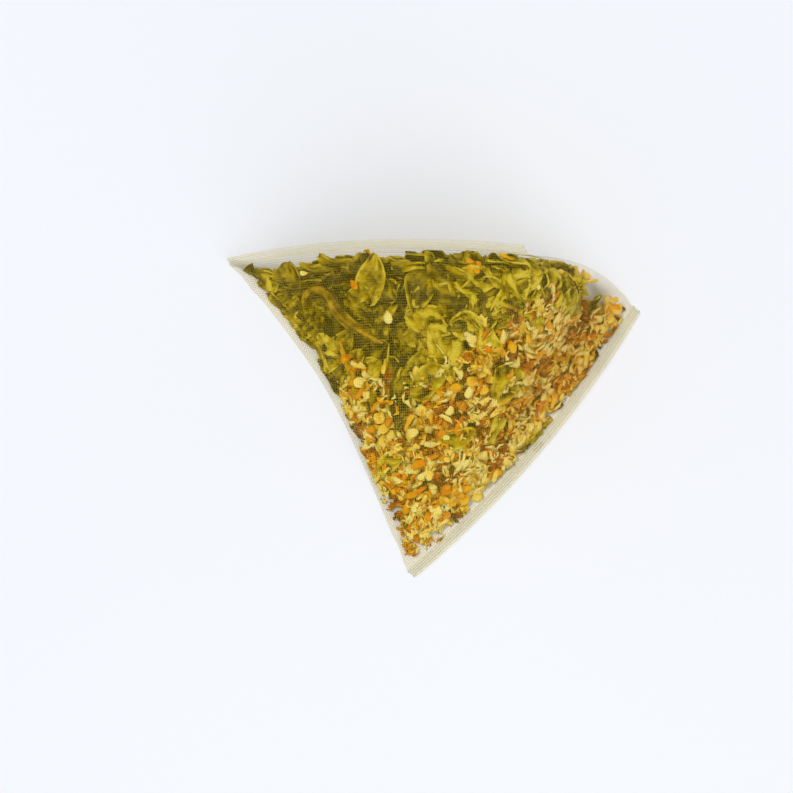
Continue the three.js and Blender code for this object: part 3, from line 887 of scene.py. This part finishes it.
# %% Shape of a leaf
LEAF_THICKNESS = 0.25 * MM
LEAF_CRUMPLE = 0.5 * MM
LEAF_TURN = 1.7
LEAF_TEETH = 22
TOOTH_DEPTH = 0.02
BUTT_WIDTH = 0.06
BELLY_WIDTH = 0.4
LEAF_VEINS = 7
MIDRIB_WIDTH = 0.05
MIDRIB_SWAY = 0.05
VEIN_SLANT = 0.35
VEIN_WIDTH = 0.1
FOLD_LENGTH = 3.6 * MM
FOLD_SPREAD = 7 * MM
RIM_SHARPNESS = 10
RIM_LIGHT = 0.4
WAVE_SHADE = 0.4
VEIN_PALENESS = 0.4
VEIN_RELIEF = 0.14 * MM
FOLD_RELIEF = 0.75 * MM
SMOOTH_ROUNDS = 3


def leaf_outline(along):
    """Half the width of a leaf, as a share of its patch, from its stalk at 0 to its tip at 1."""
    belly = np.sin(math.pi * along**0.85) ** 0.8
    teeth = TOOTH_DEPTH * (along * LEAF_TEETH % 1)
    return BUTT_WIDTH + BELLY_WIDTH * belly + teeth * belly


def leaf_veins(along, side):
    """How much a point lies on the midrib or on a side vein, from 0 to 1."""
    midrib = np.exp(-((side / MIDRIB_WIDTH) ** 2))
    rows = (along - VEIN_SLANT * np.abs(side)) * LEAF_VEINS % 1 - 0.5
    side_veins = np.exp(-((rows / VEIN_WIDTH) ** 2)) * np.clip(1.1 - np.abs(side), 0, 1)
    return np.maximum(midrib, 0.6 * side_veins)


def leaf_folds(along, side, turn, size):
    """Folds of a crumpled leaf of a given size, from about -1 to 1."""
    folds = []
    for x, y in zip(along, side):
        place = Vector((x * size / FOLD_LENGTH, y * size / FOLD_SPREAD, turn))
        ridge = 1 - 2.4 * abs(noise.noise(place))
        crease = 1 - 2.4 * abs(noise.noise(place * 2.1 + Vector((5, 0, 0))))
        crumple = noise.noise(place * 4.7 + Vector((0, 9, 0)))
        folds.append(0.65 * ridge + 0.5 * crease + 0.35 * crumple - 0.6)
    return np.array(folds)


def add_leaf(bm, columns, rows, patch, depth, turn, tone, size, tilt=0.0, curl=0.0):
    """One leaf on a patch, which turns places along and across the leaf into places on the bag.

    Tilt takes one end of the leaf deeper than the other, and curl takes its edges deeper than its midrib."""
    verts = flat_grid(bm, columns, rows)
    along, across = flat_places(verts)
    side = 2 * across - 1
    midrib = 0.5 + MIDRIB_SWAY * np.sin(2 * math.pi * along + turn)
    t, around = patch(along, midrib + leaf_outline(along) * side)
    wave = np.sin(3 * math.pi * along + turn) * np.cos(0.7 * math.pi * side + 2 * turn)
    veins = leaf_veins(along, side)
    folds = leaf_folds(along, side, turn, size)
    level = depth + LEAF_CRUMPLE * wave - FOLD_RELIEF * folds - VEIN_RELIEF * veins
    level = level + tilt * (along - 0.5) + curl * side**2
    move_to(verts, wrap(t, around, level))
    tones = tone + RIM_LIGHT * np.abs(side) ** RIM_SHARPNESS
    # fold holds painted highlight on the ridges and painted shade in the hollows and wave troughs.
    set_values(bm, verts, fold=folds - WAVE_SHADE * wave, tone=tones, vein=VEIN_PALENESS * veins)


def finish_leaves(name, bm):
    """A leaf piece with its thickness."""
    folded = tuck_in(bm)
    for _ in range(SMOOTH_ROUNDS):
        bmesh.ops.smooth_vert(bm, verts=folded, factor=0.5, use_axis_x=True, use_axis_y=True, use_axis_z=True)
    press_under_stalks(bm)
    piece = add_object(name, bm, leaf_finish)
    solid = piece.modifiers.new("thickness", "SOLIDIFY")
    solid.thickness = LEAF_THICKNESS
    solid.offset = 0
    return piece


print("leaf outline at its belly:", leaf_outline(np.array([0.5])).round(3))

# %% [markdown]
# The solid model has one node for each large leaf. Each is made again here on the same patch and at the same
# depth, with far finer folds: side by side along the tube on the upper side, the back and the base, then laid
# around the tube in a second layer, and three more under the blossoms.

# %% The large leaves
BLOSSOM_END = 0.6506
LEAF_END = 0.9
LAYER_DEPTHS = (1.775 * MM, 3.825 * MM)
LOWER_DEPTH = 4.35 * MM
UPPER_ROW = (0.27, 0.47, 2)
BASE_ROW = (0.84, 1.2, 3)
BACK_ROW = (0.69, 0.83, 2)
BACK_SPAN = (0.45, 0.66)
STALK_LEAF = (0.77, LEAF_END, 0.48, 0.57)
SECOND_SPAN = (BLOSSOM_END, BLOSSOM_END + 0.13)
SECOND_UPPER = (0.3, 0.49)
SECOND_BASE_ROW = (0.86, 1.15, 2)
BLOSSOM_ROW = (0.12, 0.38, 3)
BLOSSOM_SPAN = (0.34, 0.5)
LARGE_LEAF = 14 * MM
LARGE_LEAF_GRID = (72, 36)
LEAF_TONES = (0.36, 0.46, 0.3, 0.52)


def along_tube(t0, t1, around0, around1):
    return lambda along, across: (lerp(t0, t1, along), lerp(around0, around1, across))


def around_tube(t0, t1, around0, around1):
    return lambda along, across: (lerp(t1, t0, across), lerp(around0, around1, along))


def side_by_side(start, end, count):
    return [(lerp(start, end, k / count), lerp(start, end, (k + 1) / count)) for k in range(count)]


leaf_plans = []
for place in [*side_by_side(*UPPER_ROW), *side_by_side(*BASE_ROW)]:
    leaf_plans.append((along_tube(BLOSSOM_END, LEAF_END, *place), LAYER_DEPTHS[0]))
leaf_plans.append((along_tube(*STALK_LEAF), LAYER_DEPTHS[0]))
for place in side_by_side(*BACK_ROW):
    leaf_plans.append((along_tube(*BACK_SPAN, *place), LAYER_DEPTHS[0]))
for place in [SECOND_UPPER, *side_by_side(*SECOND_BASE_ROW)]:
    leaf_plans.append((around_tube(*SECOND_SPAN, *place), LAYER_DEPTHS[1]))
for place in side_by_side(*BLOSSOM_ROW):
    leaf_plans.append((around_tube(*BLOSSOM_SPAN, *place), LOWER_DEPTH))

for number, (patch, depth) in enumerate(leaf_plans, start=1):
    leaf_form = new_form("fold", "tone", "vein")
    tone = LEAF_TONES[number % len(LEAF_TONES)]
    add_leaf(leaf_form, *LARGE_LEAF_GRID, patch, depth, LEAF_TURN * number, tone, LARGE_LEAF)
    large_leaf = finish_leaves(f"steeped_leaf_{number:02d}", leaf_form)
    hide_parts(f"tea_leaf_{number:02d}")
print("large leaves:", len(leaf_plans))

# %% [markdown]
# ## Broken leaves
# Between and behind the large leaves lie broken and folded pieces. They are the same leaf, smaller and
# coarser, and a seeded draw lays them in three beds: under the upper gauze, on the base, and below the
# blossoms, where they make the gaps dark. Near the stalks they lie deeper, so that the stalks stay in view.
# Each piece is painted darker the deeper it lies, and a little darker near the stalks: painted shade.
# LEAF_BITS are green bits among the blossoms: the pixel's x and y in the photograph, and a length in mm.

# %% Where blossoms end and leaves begin
LIMIT_AROUND = (0, 0.06, 0.09, 0.14, 0.19, 0.275, 0.342, 0.41, 0.475, 0.571, 0.65, 0.75, 0.9, 1)
LIMIT_T = (0.04, 0.08, 0.22, 0.44, 0.66, 0.78, 0.73, 0.645, 0.63, 0.6, 0.56, 0.5, 0.36, 0.04)


def blossom_limit(around):
    """How far along the tube the blossoms reach at a place around it."""
    return float(np.interp(around % 1, LIMIT_AROUND, LIMIT_T))


print("blossoms reach at most", max(LIMIT_T), "of the way along the tube")

# %% Broken leaves
LEAST_UPPER_T = 0.45
LEAST_LOWER_T = 0.28
FIRST_LEAF_T = 0.16
LAST_LEAF_T = 0.985
LEAF_OVERLAP = 0.06
EDGE_SHARE = 0.4
DEEPEST_SHARE = 0.45
BROKEN_LENGTHS = (5.5, 11)
BROKEN_WIDTHS = (0.4, 0.75)
SPIN_END = 6.3
MOST_TILT = 1.6
CURLS = (-0.8, 1.4)
TURN_END = 50
FINE_GRID = (18, 10)
COARSE_GRID = (10, 6)
UPPER_TRIES = 420
UPPER_DEPTHS = (0.7 * MM, 4.0 * MM)
UPPER_TONES = (0.15, 0.95)
LOWER_TRIES = 340
LOWER_DEPTHS = (0.9 * MM, 4.4 * MM)
LOWER_TONES = (0.3, 0.75)
BED_TRIES = 150
BED_DEPTHS = (3.4 * MM, 6.0 * MM)
BED_TONES = (0.3, 0.7)
NO_BED = (0.5, 0.75)
UNDER_STALKS = 0.72
THIN_PLACE = 7 * MM
SHADE_BY_STALKS = 0.05
CORNER_GAP = 4 * MM
CORNER_T = 0.88
# Painted shade: leaf pieces are darker the deeper they lie.
DEPTH_PAINTED_SHADE = 0.09
BIT_DEPTH = 0.6 * MM
BIT_GRID = (16, 10)
BIT_WIDTH = 0.6
BIT_TONE = 0.5
LEAF_BITS = ((510, 385, 11), (541, 440, 10), (535, 323, 7), (386, 466, 6), (459, 441, 7), (498, 431, 7))
draw = random.Random(7)
stalk_places = np.array([*HOOKED_STALK_ROUTE, *STRAIGHT_STALK_ROUTE])


def turned_patch(t, around, length, width, spin):
    """A patch of a given size about one place, turned on the gauze."""

    def patch(along, across):
        x = (along - 0.5) * length
        y = (across - 0.5) * width
        dx = x * math.cos(spin) - y * math.sin(spin)
        dy = x * math.sin(spin) + y * math.cos(spin)
        return t + dy / tube_length, around + dx / GIRTH

    return patch


def stalk_distance(t, around):
    """How far, along the gauze, a place is from the nearest bend of a stalk."""
    gaps = (stalk_places - (t, around)) * (tube_length, GIRTH)
    return np.hypot(gaps[:, 0], gaps[:, 1]).min()


def scatter_leaves(tries, columns, rows, zone, is_upper, depths, tones):
    """A bmesh of broken leaves. Zone says whether a place along and around the tube is for leaves."""
    bm = new_form("fold", "tone", "vein")
    for _ in range(tries):
        length = draw.uniform(*BROKEN_LENGTHS) * MM
        t = draw.uniform(FIRST_LEAF_T, LAST_LEAF_T - EDGE_SHARE * length / tube_length)
        margin = EDGE_SHARE * length + CORNER_GAP * max(t - CORNER_T, 0) / (1 - CORNER_T)
        around = draw_around(draw, t, margin, is_upper)
        width = length * draw.uniform(*BROKEN_WIDTHS)
        patch = turned_patch(t, around, length, width, draw.uniform(0, SPIN_END))
        depth = draw.uniform(*depths)
        tilt = draw.uniform(-MOST_TILT, MOST_TILT) * MM
        curl = draw.uniform(*CURLS) * MM
        tone = draw.uniform(*tones)
        turn = draw.uniform(0, TURN_END)
        if not zone(t, around):
            continue
        space = room(t, around)
        depth = min(depth, DEEPEST_SHARE * space)
        if is_upper and stalk_distance(t, around) < length / 2 + HOOKED_STALK_DIAMETER:
            tilt = 0
            curl = 0
            tone -= SHADE_BY_STALKS
            if space > THIN_PLACE:
                depth = min(depth + STALK_TOP + HOOKED_STALK_DIAMETER, UNDER_STALKS * space)
        # Painted shade that grows with the depth of the piece.
        tone -= DEPTH_PAINTED_SHADE * depth / MM
        add_leaf(bm, columns, rows, patch, depth, turn, tone, length, tilt, curl)
    return bm


def upper_zone(t, around):
    return t > max(blossom_limit(around) - LEAF_OVERLAP, LEAST_UPPER_T)


def lower_zone(t, around):
    return t > max(blossom_limit(around) - LEAF_OVERLAP, LEAST_LOWER_T)


def blossom_bed(t, around):
    return t < blossom_limit(around) and not NO_BED[0] < around < NO_BED[1]


upper = scatter_leaves(UPPER_TRIES, *FINE_GRID, upper_zone, True, UPPER_DEPTHS, UPPER_TONES)
finish_leaves("broken_leaves_upper", upper)
lower = scatter_leaves(LOWER_TRIES, *COARSE_GRID, lower_zone, False, LOWER_DEPTHS, LOWER_TONES)
finish_leaves("broken_leaves_lower", lower)
bed = scatter_leaves(BED_TRIES, *COARSE_GRID, blossom_bed, True, BED_DEPTHS, BED_TONES)
for pixel_x, pixel_y, length in LEAF_BITS:
    bit_t, bit_around = cloth_place(pixel_x, pixel_y)
    bit_patch = turned_patch(bit_t, bit_around, length * MM, BIT_WIDTH * length * MM, pixel_x)
    add_leaf(bed, *BIT_GRID, bit_patch, BIT_DEPTH, pixel_y, BIT_TONE, length * MM)
finish_leaves("broken_leaves_bed", bed)
for layer in ("upper", "lower", "bed"):
    broken_mesh = bpy.data.objects[f"broken_leaves_{layer}"].data
    print("broken leaves:", layer, len(broken_mesh.polygons), "faces")

# %% [markdown]
# ## Osmanthus blossoms
# An osmanthus blossom has four thick, rounded petals joined in a short throat. Steeped ones are cream to
# orange, with brown edges, and half closed. A petal starts as a small sphere that is flattened, widened
# towards its tip and bent upwards. Four of them make a blossom. The attribute "tip" runs from the throat to
# the tips, and "tone" gives each blossom its own colour, paler on the right half of the bag as painted light.

# %% Finish of the blossoms
petal_finish, petal_tree, petal_shader = new_finish("osmanthus_petal")
petal_tip = add_attribute(petal_tree, "tip")
petal_tone = add_attribute(petal_tree, "tone")
petal_level = add_math(petal_tree, "MULTIPLY", petal_tip, 0.18)
petal_level = add_math(petal_tree, "ADD", petal_level, petal_tone)
petal_blotch = add_range(petal_tree, add_noise(petal_tree, 1.0 * MM, 4), -0.25, 0.2)
petal_level = add_math(petal_tree, "ADD", petal_level, petal_blotch)
petal_colour = add_ramp(
    petal_tree,
    petal_level,
    [
        (0.0, colour(92, 44, 1)),
        (0.18, colour(178, 88, 1)),
        (0.36, colour(230, 136, 2)),
        (0.56, colour(244, 178, 12)),
        (0.78, colour(252, 210, 66)),
        (1.0, colour(254, 236, 132)),
    ],
)
petal_patches = add_noise(petal_tree, 1.6 * MM, 4)
petal_blush = add_math(petal_tree, "MULTIPLY", add_attribute(petal_tree, "blush"), petal_patches)
petal_colour = add_mix(petal_tree, petal_blush, petal_colour, colour(244, 168, 88))
petal_sockets = {
    "Base Color": petal_colour,
    "Roughness": 0.36,
    "Specular IOR Level": 0.14,
    "Specular Tint": GOLDEN,
    "Subsurface Weight": 0.1,
    "Subsurface Radius": (0.5 * MM, 0.4 * MM, 0.15 * MM),
    "Subsurface Scale": 1,
}
set_sockets(petal_tree, petal_shader, petal_sockets)
add_bump(petal_tree, petal_shader, add_noise(petal_tree, 0.4 * MM), 0.08 * MM, 0.5)
print("petal finish:", len(petal_tree.nodes), "nodes")

# %% Shape of a blossom
BLOSSOM_DIAMETER = 4.6 * MM
PETAL_THICKNESS = 0.55 * MM
PETAL_WIDTH = 2.1 * MM
PETAL_FULLNESS = 1.1
PETAL_CUP = 0.5
THROAT_SHARE = 0.04
FINE_PETAL = (12, 9)
lie_along = Matrix.Rotation(math.pi / 2, 4, "Y")


def add_petal(bm, segments, rings, length, width, rise, curl, turn, wilt):
    """A petal from the throat outwards. Rise lifts its tip, and curl rolls it back in or out."""
    tip_layer = bm.verts.layers.float["tip"]
    ball = bmesh.ops.create_uvsphere(bm, u_segments=segments, v_segments=rings, radius=0.5, matrix=lie_along)
    for vert in ball["verts"]:
        along = vert.co.x + 0.5
        spread = (0.35 + 0.9 * along - 0.35 * along**3) * width
        y = vert.co.y * spread * PETAL_FULLNESS
        cup = PETAL_CUP * (2 * vert.co.y) ** 2 * width * along
        z = vert.co.z * PETAL_THICKNESS + rise * along**1.5 + curl * along**3 + cup
        z += wilt * math.sin(7 * along + 3 * turn + 4 * vert.co.y)
        vert.co = Vector((along * length + THROAT_SHARE * length, y, z))
        vert[tip_layer] = along
    bmesh.ops.rotate(bm, verts=ball["verts"], cent=(0, 0, 0), matrix=Matrix.Rotation(turn, 3, "Z"))


def blossom_mesh(name, grid, rise, curl, wilt, petals=4, length=BLOSSOM_DIAMETER / 2, width=PETAL_WIDTH):
    """A blossom of four petals about the origin, its throat below, or a single petal."""
    bm = new_form("tip", "tone", "blush")
    for k in range(petals):
        turn = k * math.pi / 2 + 0.12 * math.sin(5 * k + 40 * rise / MM)
        add_petal(bm, *grid, length, width, rise, curl, turn, wilt)
    mesh = bpy.data.meshes.new(name)
    bm.to_mesh(mesh)
    bm.free()
    mesh.transform(Matrix.Translation((0, 0, -rise / 2)))
    return mesh


fine_forms = [
    blossom_mesh("open_blossom", FINE_PETAL, 1.0 * MM, 0.2 * MM, 0.12 * MM),
    blossom_mesh("cupped_blossom", FINE_PETAL, 1.5 * MM, -0.5 * MM, 0.16 * MM),
    blossom_mesh("curled_blossom", FINE_PETAL, 0.7 * MM, 0.8 * MM, 0.2 * MM),
]
print("blossom forms:", [len(form.polygons) for form in fine_forms], "faces")

# %% The large blossoms
blossom_names = sorted(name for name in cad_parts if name.startswith("osmanthus_blossom"))
tone_draw = random.Random(11)
CLUMP_SIZE = 5 * MM
CLUMP_PULL = 0.5
CREAM_SHARE = 0.56
BROWN_SHARE = 0.14
CREAM = (0.82, 0.1)
ORANGE = (0.34, 0.1)
BROWN = (0.05, 0.07)
DARKEST = -0.05
PALEST = 0.98
# Painted light: blossoms on the right half, on the slope that faces away from the sun, are made paler.
RIGHT_PAINTED_LIGHT = 0.05
RIGHT_START = 0.45
RIGHT_SPAN = 0.55


def rightness(point):
    """How far a point lies in the right half of the bag, from 0 to 1."""
    right = (point[0] - cad_low[0]) / (cad_high[0] - cad_low[0])
    return max(right - RIGHT_START, 0) / RIGHT_SPAN


def blossom_tone(point):
    """Golden cream for most, orange for others, brown for a few, in clumps; painted light makes the right
    half paler.
    """
    clump = noise.noise(Vector(point) / CLUMP_SIZE)
    share = tone_draw.random() - CLUMP_PULL * clump
    if share < CREAM_SHARE:
        tone = tone_draw.gauss(*CREAM)
    elif share < 1 - BROWN_SHARE:
        tone = tone_draw.gauss(*ORANGE)
    else:
        tone = tone_draw.gauss(*BROWN)
    # The tone is lifted on the right half as painted light.
    return min(max(tone + RIGHT_PAINTED_LIGHT * rightness(point), DARKEST), PALEST)


def solid_axes(name):
    """Middle of a solid blossom, the way it faces and the way to one of its petals."""
    points = np.array([vert.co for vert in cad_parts[name].data.vertices])
    middle = (points.min(axis=0) + points.max(axis=0)) / 2
    flattest = np.linalg.svd(points - points.mean(axis=0), full_matrices=False)[2][2]
    _, facing, _, _ = skin_tree.find_nearest(Vector(middle))
    if flattest.dot(np.array(facing) * SKIN_SIDE) < 0:
        flattest = -flattest
    furthest = points[np.argmax(np.linalg.norm(points - middle, axis=1))] - middle
    petal = unit(furthest - flattest * furthest.dot(flattest))
    return middle, flattest, petal


def paint(mesh, tone, blush):
    """Gives all of a mesh one tone and one share of pink, which is less on a dark tone."""
    mesh.attributes["tone"].data.foreach_set("value", [tone] * len(mesh.vertices))
    mesh.attributes["blush"].data.foreach_set("value", [blush * max(tone, 0)] * len(mesh.vertices))


def add_copy(bm, form, stance, tone, blush):
    """Adds a painted copy of a form to a bmesh, where its stance puts it."""
    copy = form.copy()
    copy.transform(stance)
    paint(copy, tone, blush)
    bm.from_mesh(copy)
    bpy.data.meshes.remove(copy)


for number, node in enumerate(blossom_names):
    middle, facing, petal = solid_axes(node)
    stance = Matrix([petal, np.cross(facing, petal), facing]).transposed().to_4x4()
    stance.translation = Vector(middle)
    form = fine_forms[number % len(fine_forms)]
    blossom_form = new_form("tip", "tone", "blush")
    add_copy(blossom_form, form, stance, blossom_tone(middle), rightness(middle))
    tuck_in(blossom_form)
    blossom = add_object(f"blossom_{number + 1:02d}", blossom_form, petal_finish)
    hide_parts(node)
print("large blossoms:", len(blossom_names))

# %% [markdown]
# Most of the filling at this end is smaller: hundreds of dried blossoms and single petals that soaked and
# swelled. A few coarse forms are copied, turned, scaled and painted by a seeded draw, and kept as one piece.

# %% Loose blossoms and petals
LOOSE_BLOSSOMS = 900
LOOSE_PETALS = 700
COARSE_PETAL = (5, 3)
SINGLE_PETAL = (6, 5)
coarse_forms = [
    blossom_mesh("small_open", COARSE_PETAL, 1.1 * MM, 0.3 * MM, 0.2 * MM),
    blossom_mesh("small_closed", COARSE_PETAL, 1.9 * MM, -0.9 * MM, 0.25 * MM),
    blossom_mesh("small_curled", COARSE_PETAL, 0.6 * MM, 1.2 * MM, 0.25 * MM),
]
petal_forms = [
    blossom_mesh("petal_cupped", SINGLE_PETAL, 0.5 * MM, 0.3 * MM, 0.2 * MM, 1),
    blossom_mesh("petal_hooked", SINGLE_PETAL, 1.2 * MM, -1.6 * MM, 0.3 * MM, 1),
    blossom_mesh("petal_long", SINGLE_PETAL, 1.1 * MM, -1.4 * MM, 0.2 * MM, 1, 3.8 * MM, 1.3 * MM),
    blossom_mesh("petal_rolled", SINGLE_PETAL, 1.5 * MM, 0.5 * MM, 0.3 * MM, 1, 3.0 * MM, 1.5 * MM),
]
UPPER_SHARE = 0.75
FOLD_GAP = 1.0 * MM
OVER_LEAVES = 0.9 * MM
FULL_ROOM = 3.5 * MM
LEAST_ROOM = 1.0 * MM
LEAST_SIZE = 0.35
LEAST_COVER = 0.3
SQUEEZES = (0.7, 1.3)
LEANING = 0.6
SWELLING = 1.3
BLOSSOM_ZONE = (0.04, 0.8)
BLOSSOM_SIZES = (0.75, 1.2)
BLOSSOM_DEPTHS = (0.9 * MM, 4.5 * MM)
PETAL_ZONE = (0.012, 0.8)
PETAL_SIZES = (0.85, 1.35)
PETAL_DEPTHS = (0.6 * MM, 1.8 * MM)
scatter_draw = random.Random(23)


def stance_at(point):
    """How a piece stands at a point, with its own Z axis square to the gauze."""
    _, facing, _, _ = skin_tree.find_nearest(point)
    return (facing * SKIN_SIDE).to_track_quat("Z", "Y").to_matrix().to_4x4()


def scatter(bm, forms, count, sizes, zone, depths):
    """Copies of some forms under the gauze of one zone of the bag. It gives back how many found room."""
    placed = 0
    for _ in range(count):
        t = scatter_draw.uniform(*zone)
        around = draw_around(scatter_draw, t, FOLD_GAP, scatter_draw.random() < UPPER_SHARE)
        depth = scatter_draw.uniform(*depths) if t < BLOSSOM_END else OVER_LEAVES
        space = room(t, around)
        depth = min(depth, DEEPEST_SHARE * space)
        form = scatter_draw.choice(forms)
        size = scatter_draw.uniform(*sizes) * min(max(space / FULL_ROOM, LEAST_SIZE), 1)
        squeeze = scatter_draw.uniform(*SQUEEZES)
        lean = [scatter_draw.gauss(0, LEANING) for _ in range(2)]
        spin = scatter_draw.uniform(0, 2 * math.pi)
        point = Vector(wrap(t, around, depth)[0])
        if under_gauze(point) < LEAST_COVER * depth or space < LEAST_ROOM or t > blossom_limit(around):
            continue
        stance = stance_at(point) @ Matrix.Rotation(lean[0], 4, "X") @ Matrix.Rotation(lean[1], 4, "Y")
        stance = stance @ Matrix.Rotation(spin, 4, "Z")
        stance = stance @ Matrix.Diagonal((size * squeeze, size / squeeze, size * SWELLING, 1))
        stance.translation = point
        add_copy(bm, form, stance, blossom_tone(point), rightness(point))
        placed += 1
    return placed


loose = new_form("tip", "tone", "blush")
placed_blossoms = scatter(loose, coarse_forms, LOOSE_BLOSSOMS, BLOSSOM_SIZES, BLOSSOM_ZONE, BLOSSOM_DEPTHS)
tuck_in(loose)
add_object("loose_blossoms", loose, petal_finish)
petals = new_form("tip", "tone", "blush")
placed_petals = scatter(petals, petal_forms, LOOSE_PETALS, PETAL_SIZES, PETAL_ZONE, PETAL_DEPTHS)
tuck_in(petals)
add_object("loose_petals", petals, petal_finish)
print("loose blossoms:", placed_blossoms, "and petals:", placed_petals)

# %% [markdown]
# Some petals lie apart from the rest, on the leaves and in the corners, and a few thin flower stalks stick
# out. The photograph shows where: each is given by its pixel, which the camera's scale takes to the gauze.
# A row of LONE_PETALS has the pixel's x and y, the form, its size and its tone.

# %% Petals on the leaves and flower stalks
LONE_DEPTH = 0.75 * MM
LONE_SPIN = 1.9
FLOWER_STALK_DIAMETER = 0.28 * MM
FLOWER_STALK_STEPS = 13
FLOWER_STALK_SIDES = 5
FLOWER_STALK_TONE = 0.85
CUPPED, _, LONG, ROLLED = petal_forms
LONE_PETALS = (
    (347, 281, CUPPED, 0.85, 0.32),
    (360, 254, LONG, 0.6, 0.42),
    (306, 275, CUPPED, 0.6, 0.85),
    (384, 311, CUPPED, 1.0, 0.95),
    (472, 267, fine_forms[1], 0.62, 0.36),
    (512, 265, LONG, 0.8, 0.5),
    (533, 285, ROLLED, 0.8, 0.9),
    (555, 291, CUPPED, 0.6, 0.34),
    (575, 318, fine_forms[2], 0.7, 0.3),
    (630, 318, LONG, 0.4, 0.34),
    (620, 327, ROLLED, 0.5, 0.7),
    (418, 558, LONG, 0.5, 0.3),
    (363, 370, LONG, 0.9, 0.74),
    (380, 363, ROLLED, 0.7, 0.7),
)
FLOWER_STALKS = (
    ((433, 345), (441, 354), (448, 366)),
    ((417, 347), (428, 354), (436, 364)),
    ((478, 345), (466, 358), (455, 376)),
    ((415, 432), (411, 446), (413, 462)),
)
lone = new_form("tip", "tone", "blush")
for number, (pixel_x, pixel_y, form, size, tone) in enumerate(LONE_PETALS):
    t, around = cloth_place(pixel_x, pixel_y)
    point = Vector(wrap(t, around, min(LONE_DEPTH, DEEPEST_SHARE * room(t, around)))[0])
    stance = stance_at(point) @ Matrix.Rotation(LONE_SPIN * number, 4, "Z") @ Matrix.Scale(size, 4)
    stance.translation = point
    add_copy(lone, form, stance, tone, 0)
tuck_in(lone)
for bends in FLOWER_STALKS:
    points = [wrap(*cloth_place(*bend), LONE_DEPTH)[0] for bend in bends]
    start = len(lone.verts)
    route = smooth_route(points, FLOWER_STALK_STEPS)
    add_tube(lone, route, stalk_radius(FLOWER_STALK_DIAMETER), FLOWER_STALK_SIDES)
    lone.verts.ensure_lookup_table()
    stalk_verts = lone.verts[start:]
    count = len(stalk_verts)
    set_values(lone, stalk_verts, tip=[1] * count, tone=[FLOWER_STALK_TONE] * count)
add_object("lone_petals", lone, petal_finish)
print("petals that lie apart:", len(LONE_PETALS), "and flower stalks:", len(FLOWER_STALKS))
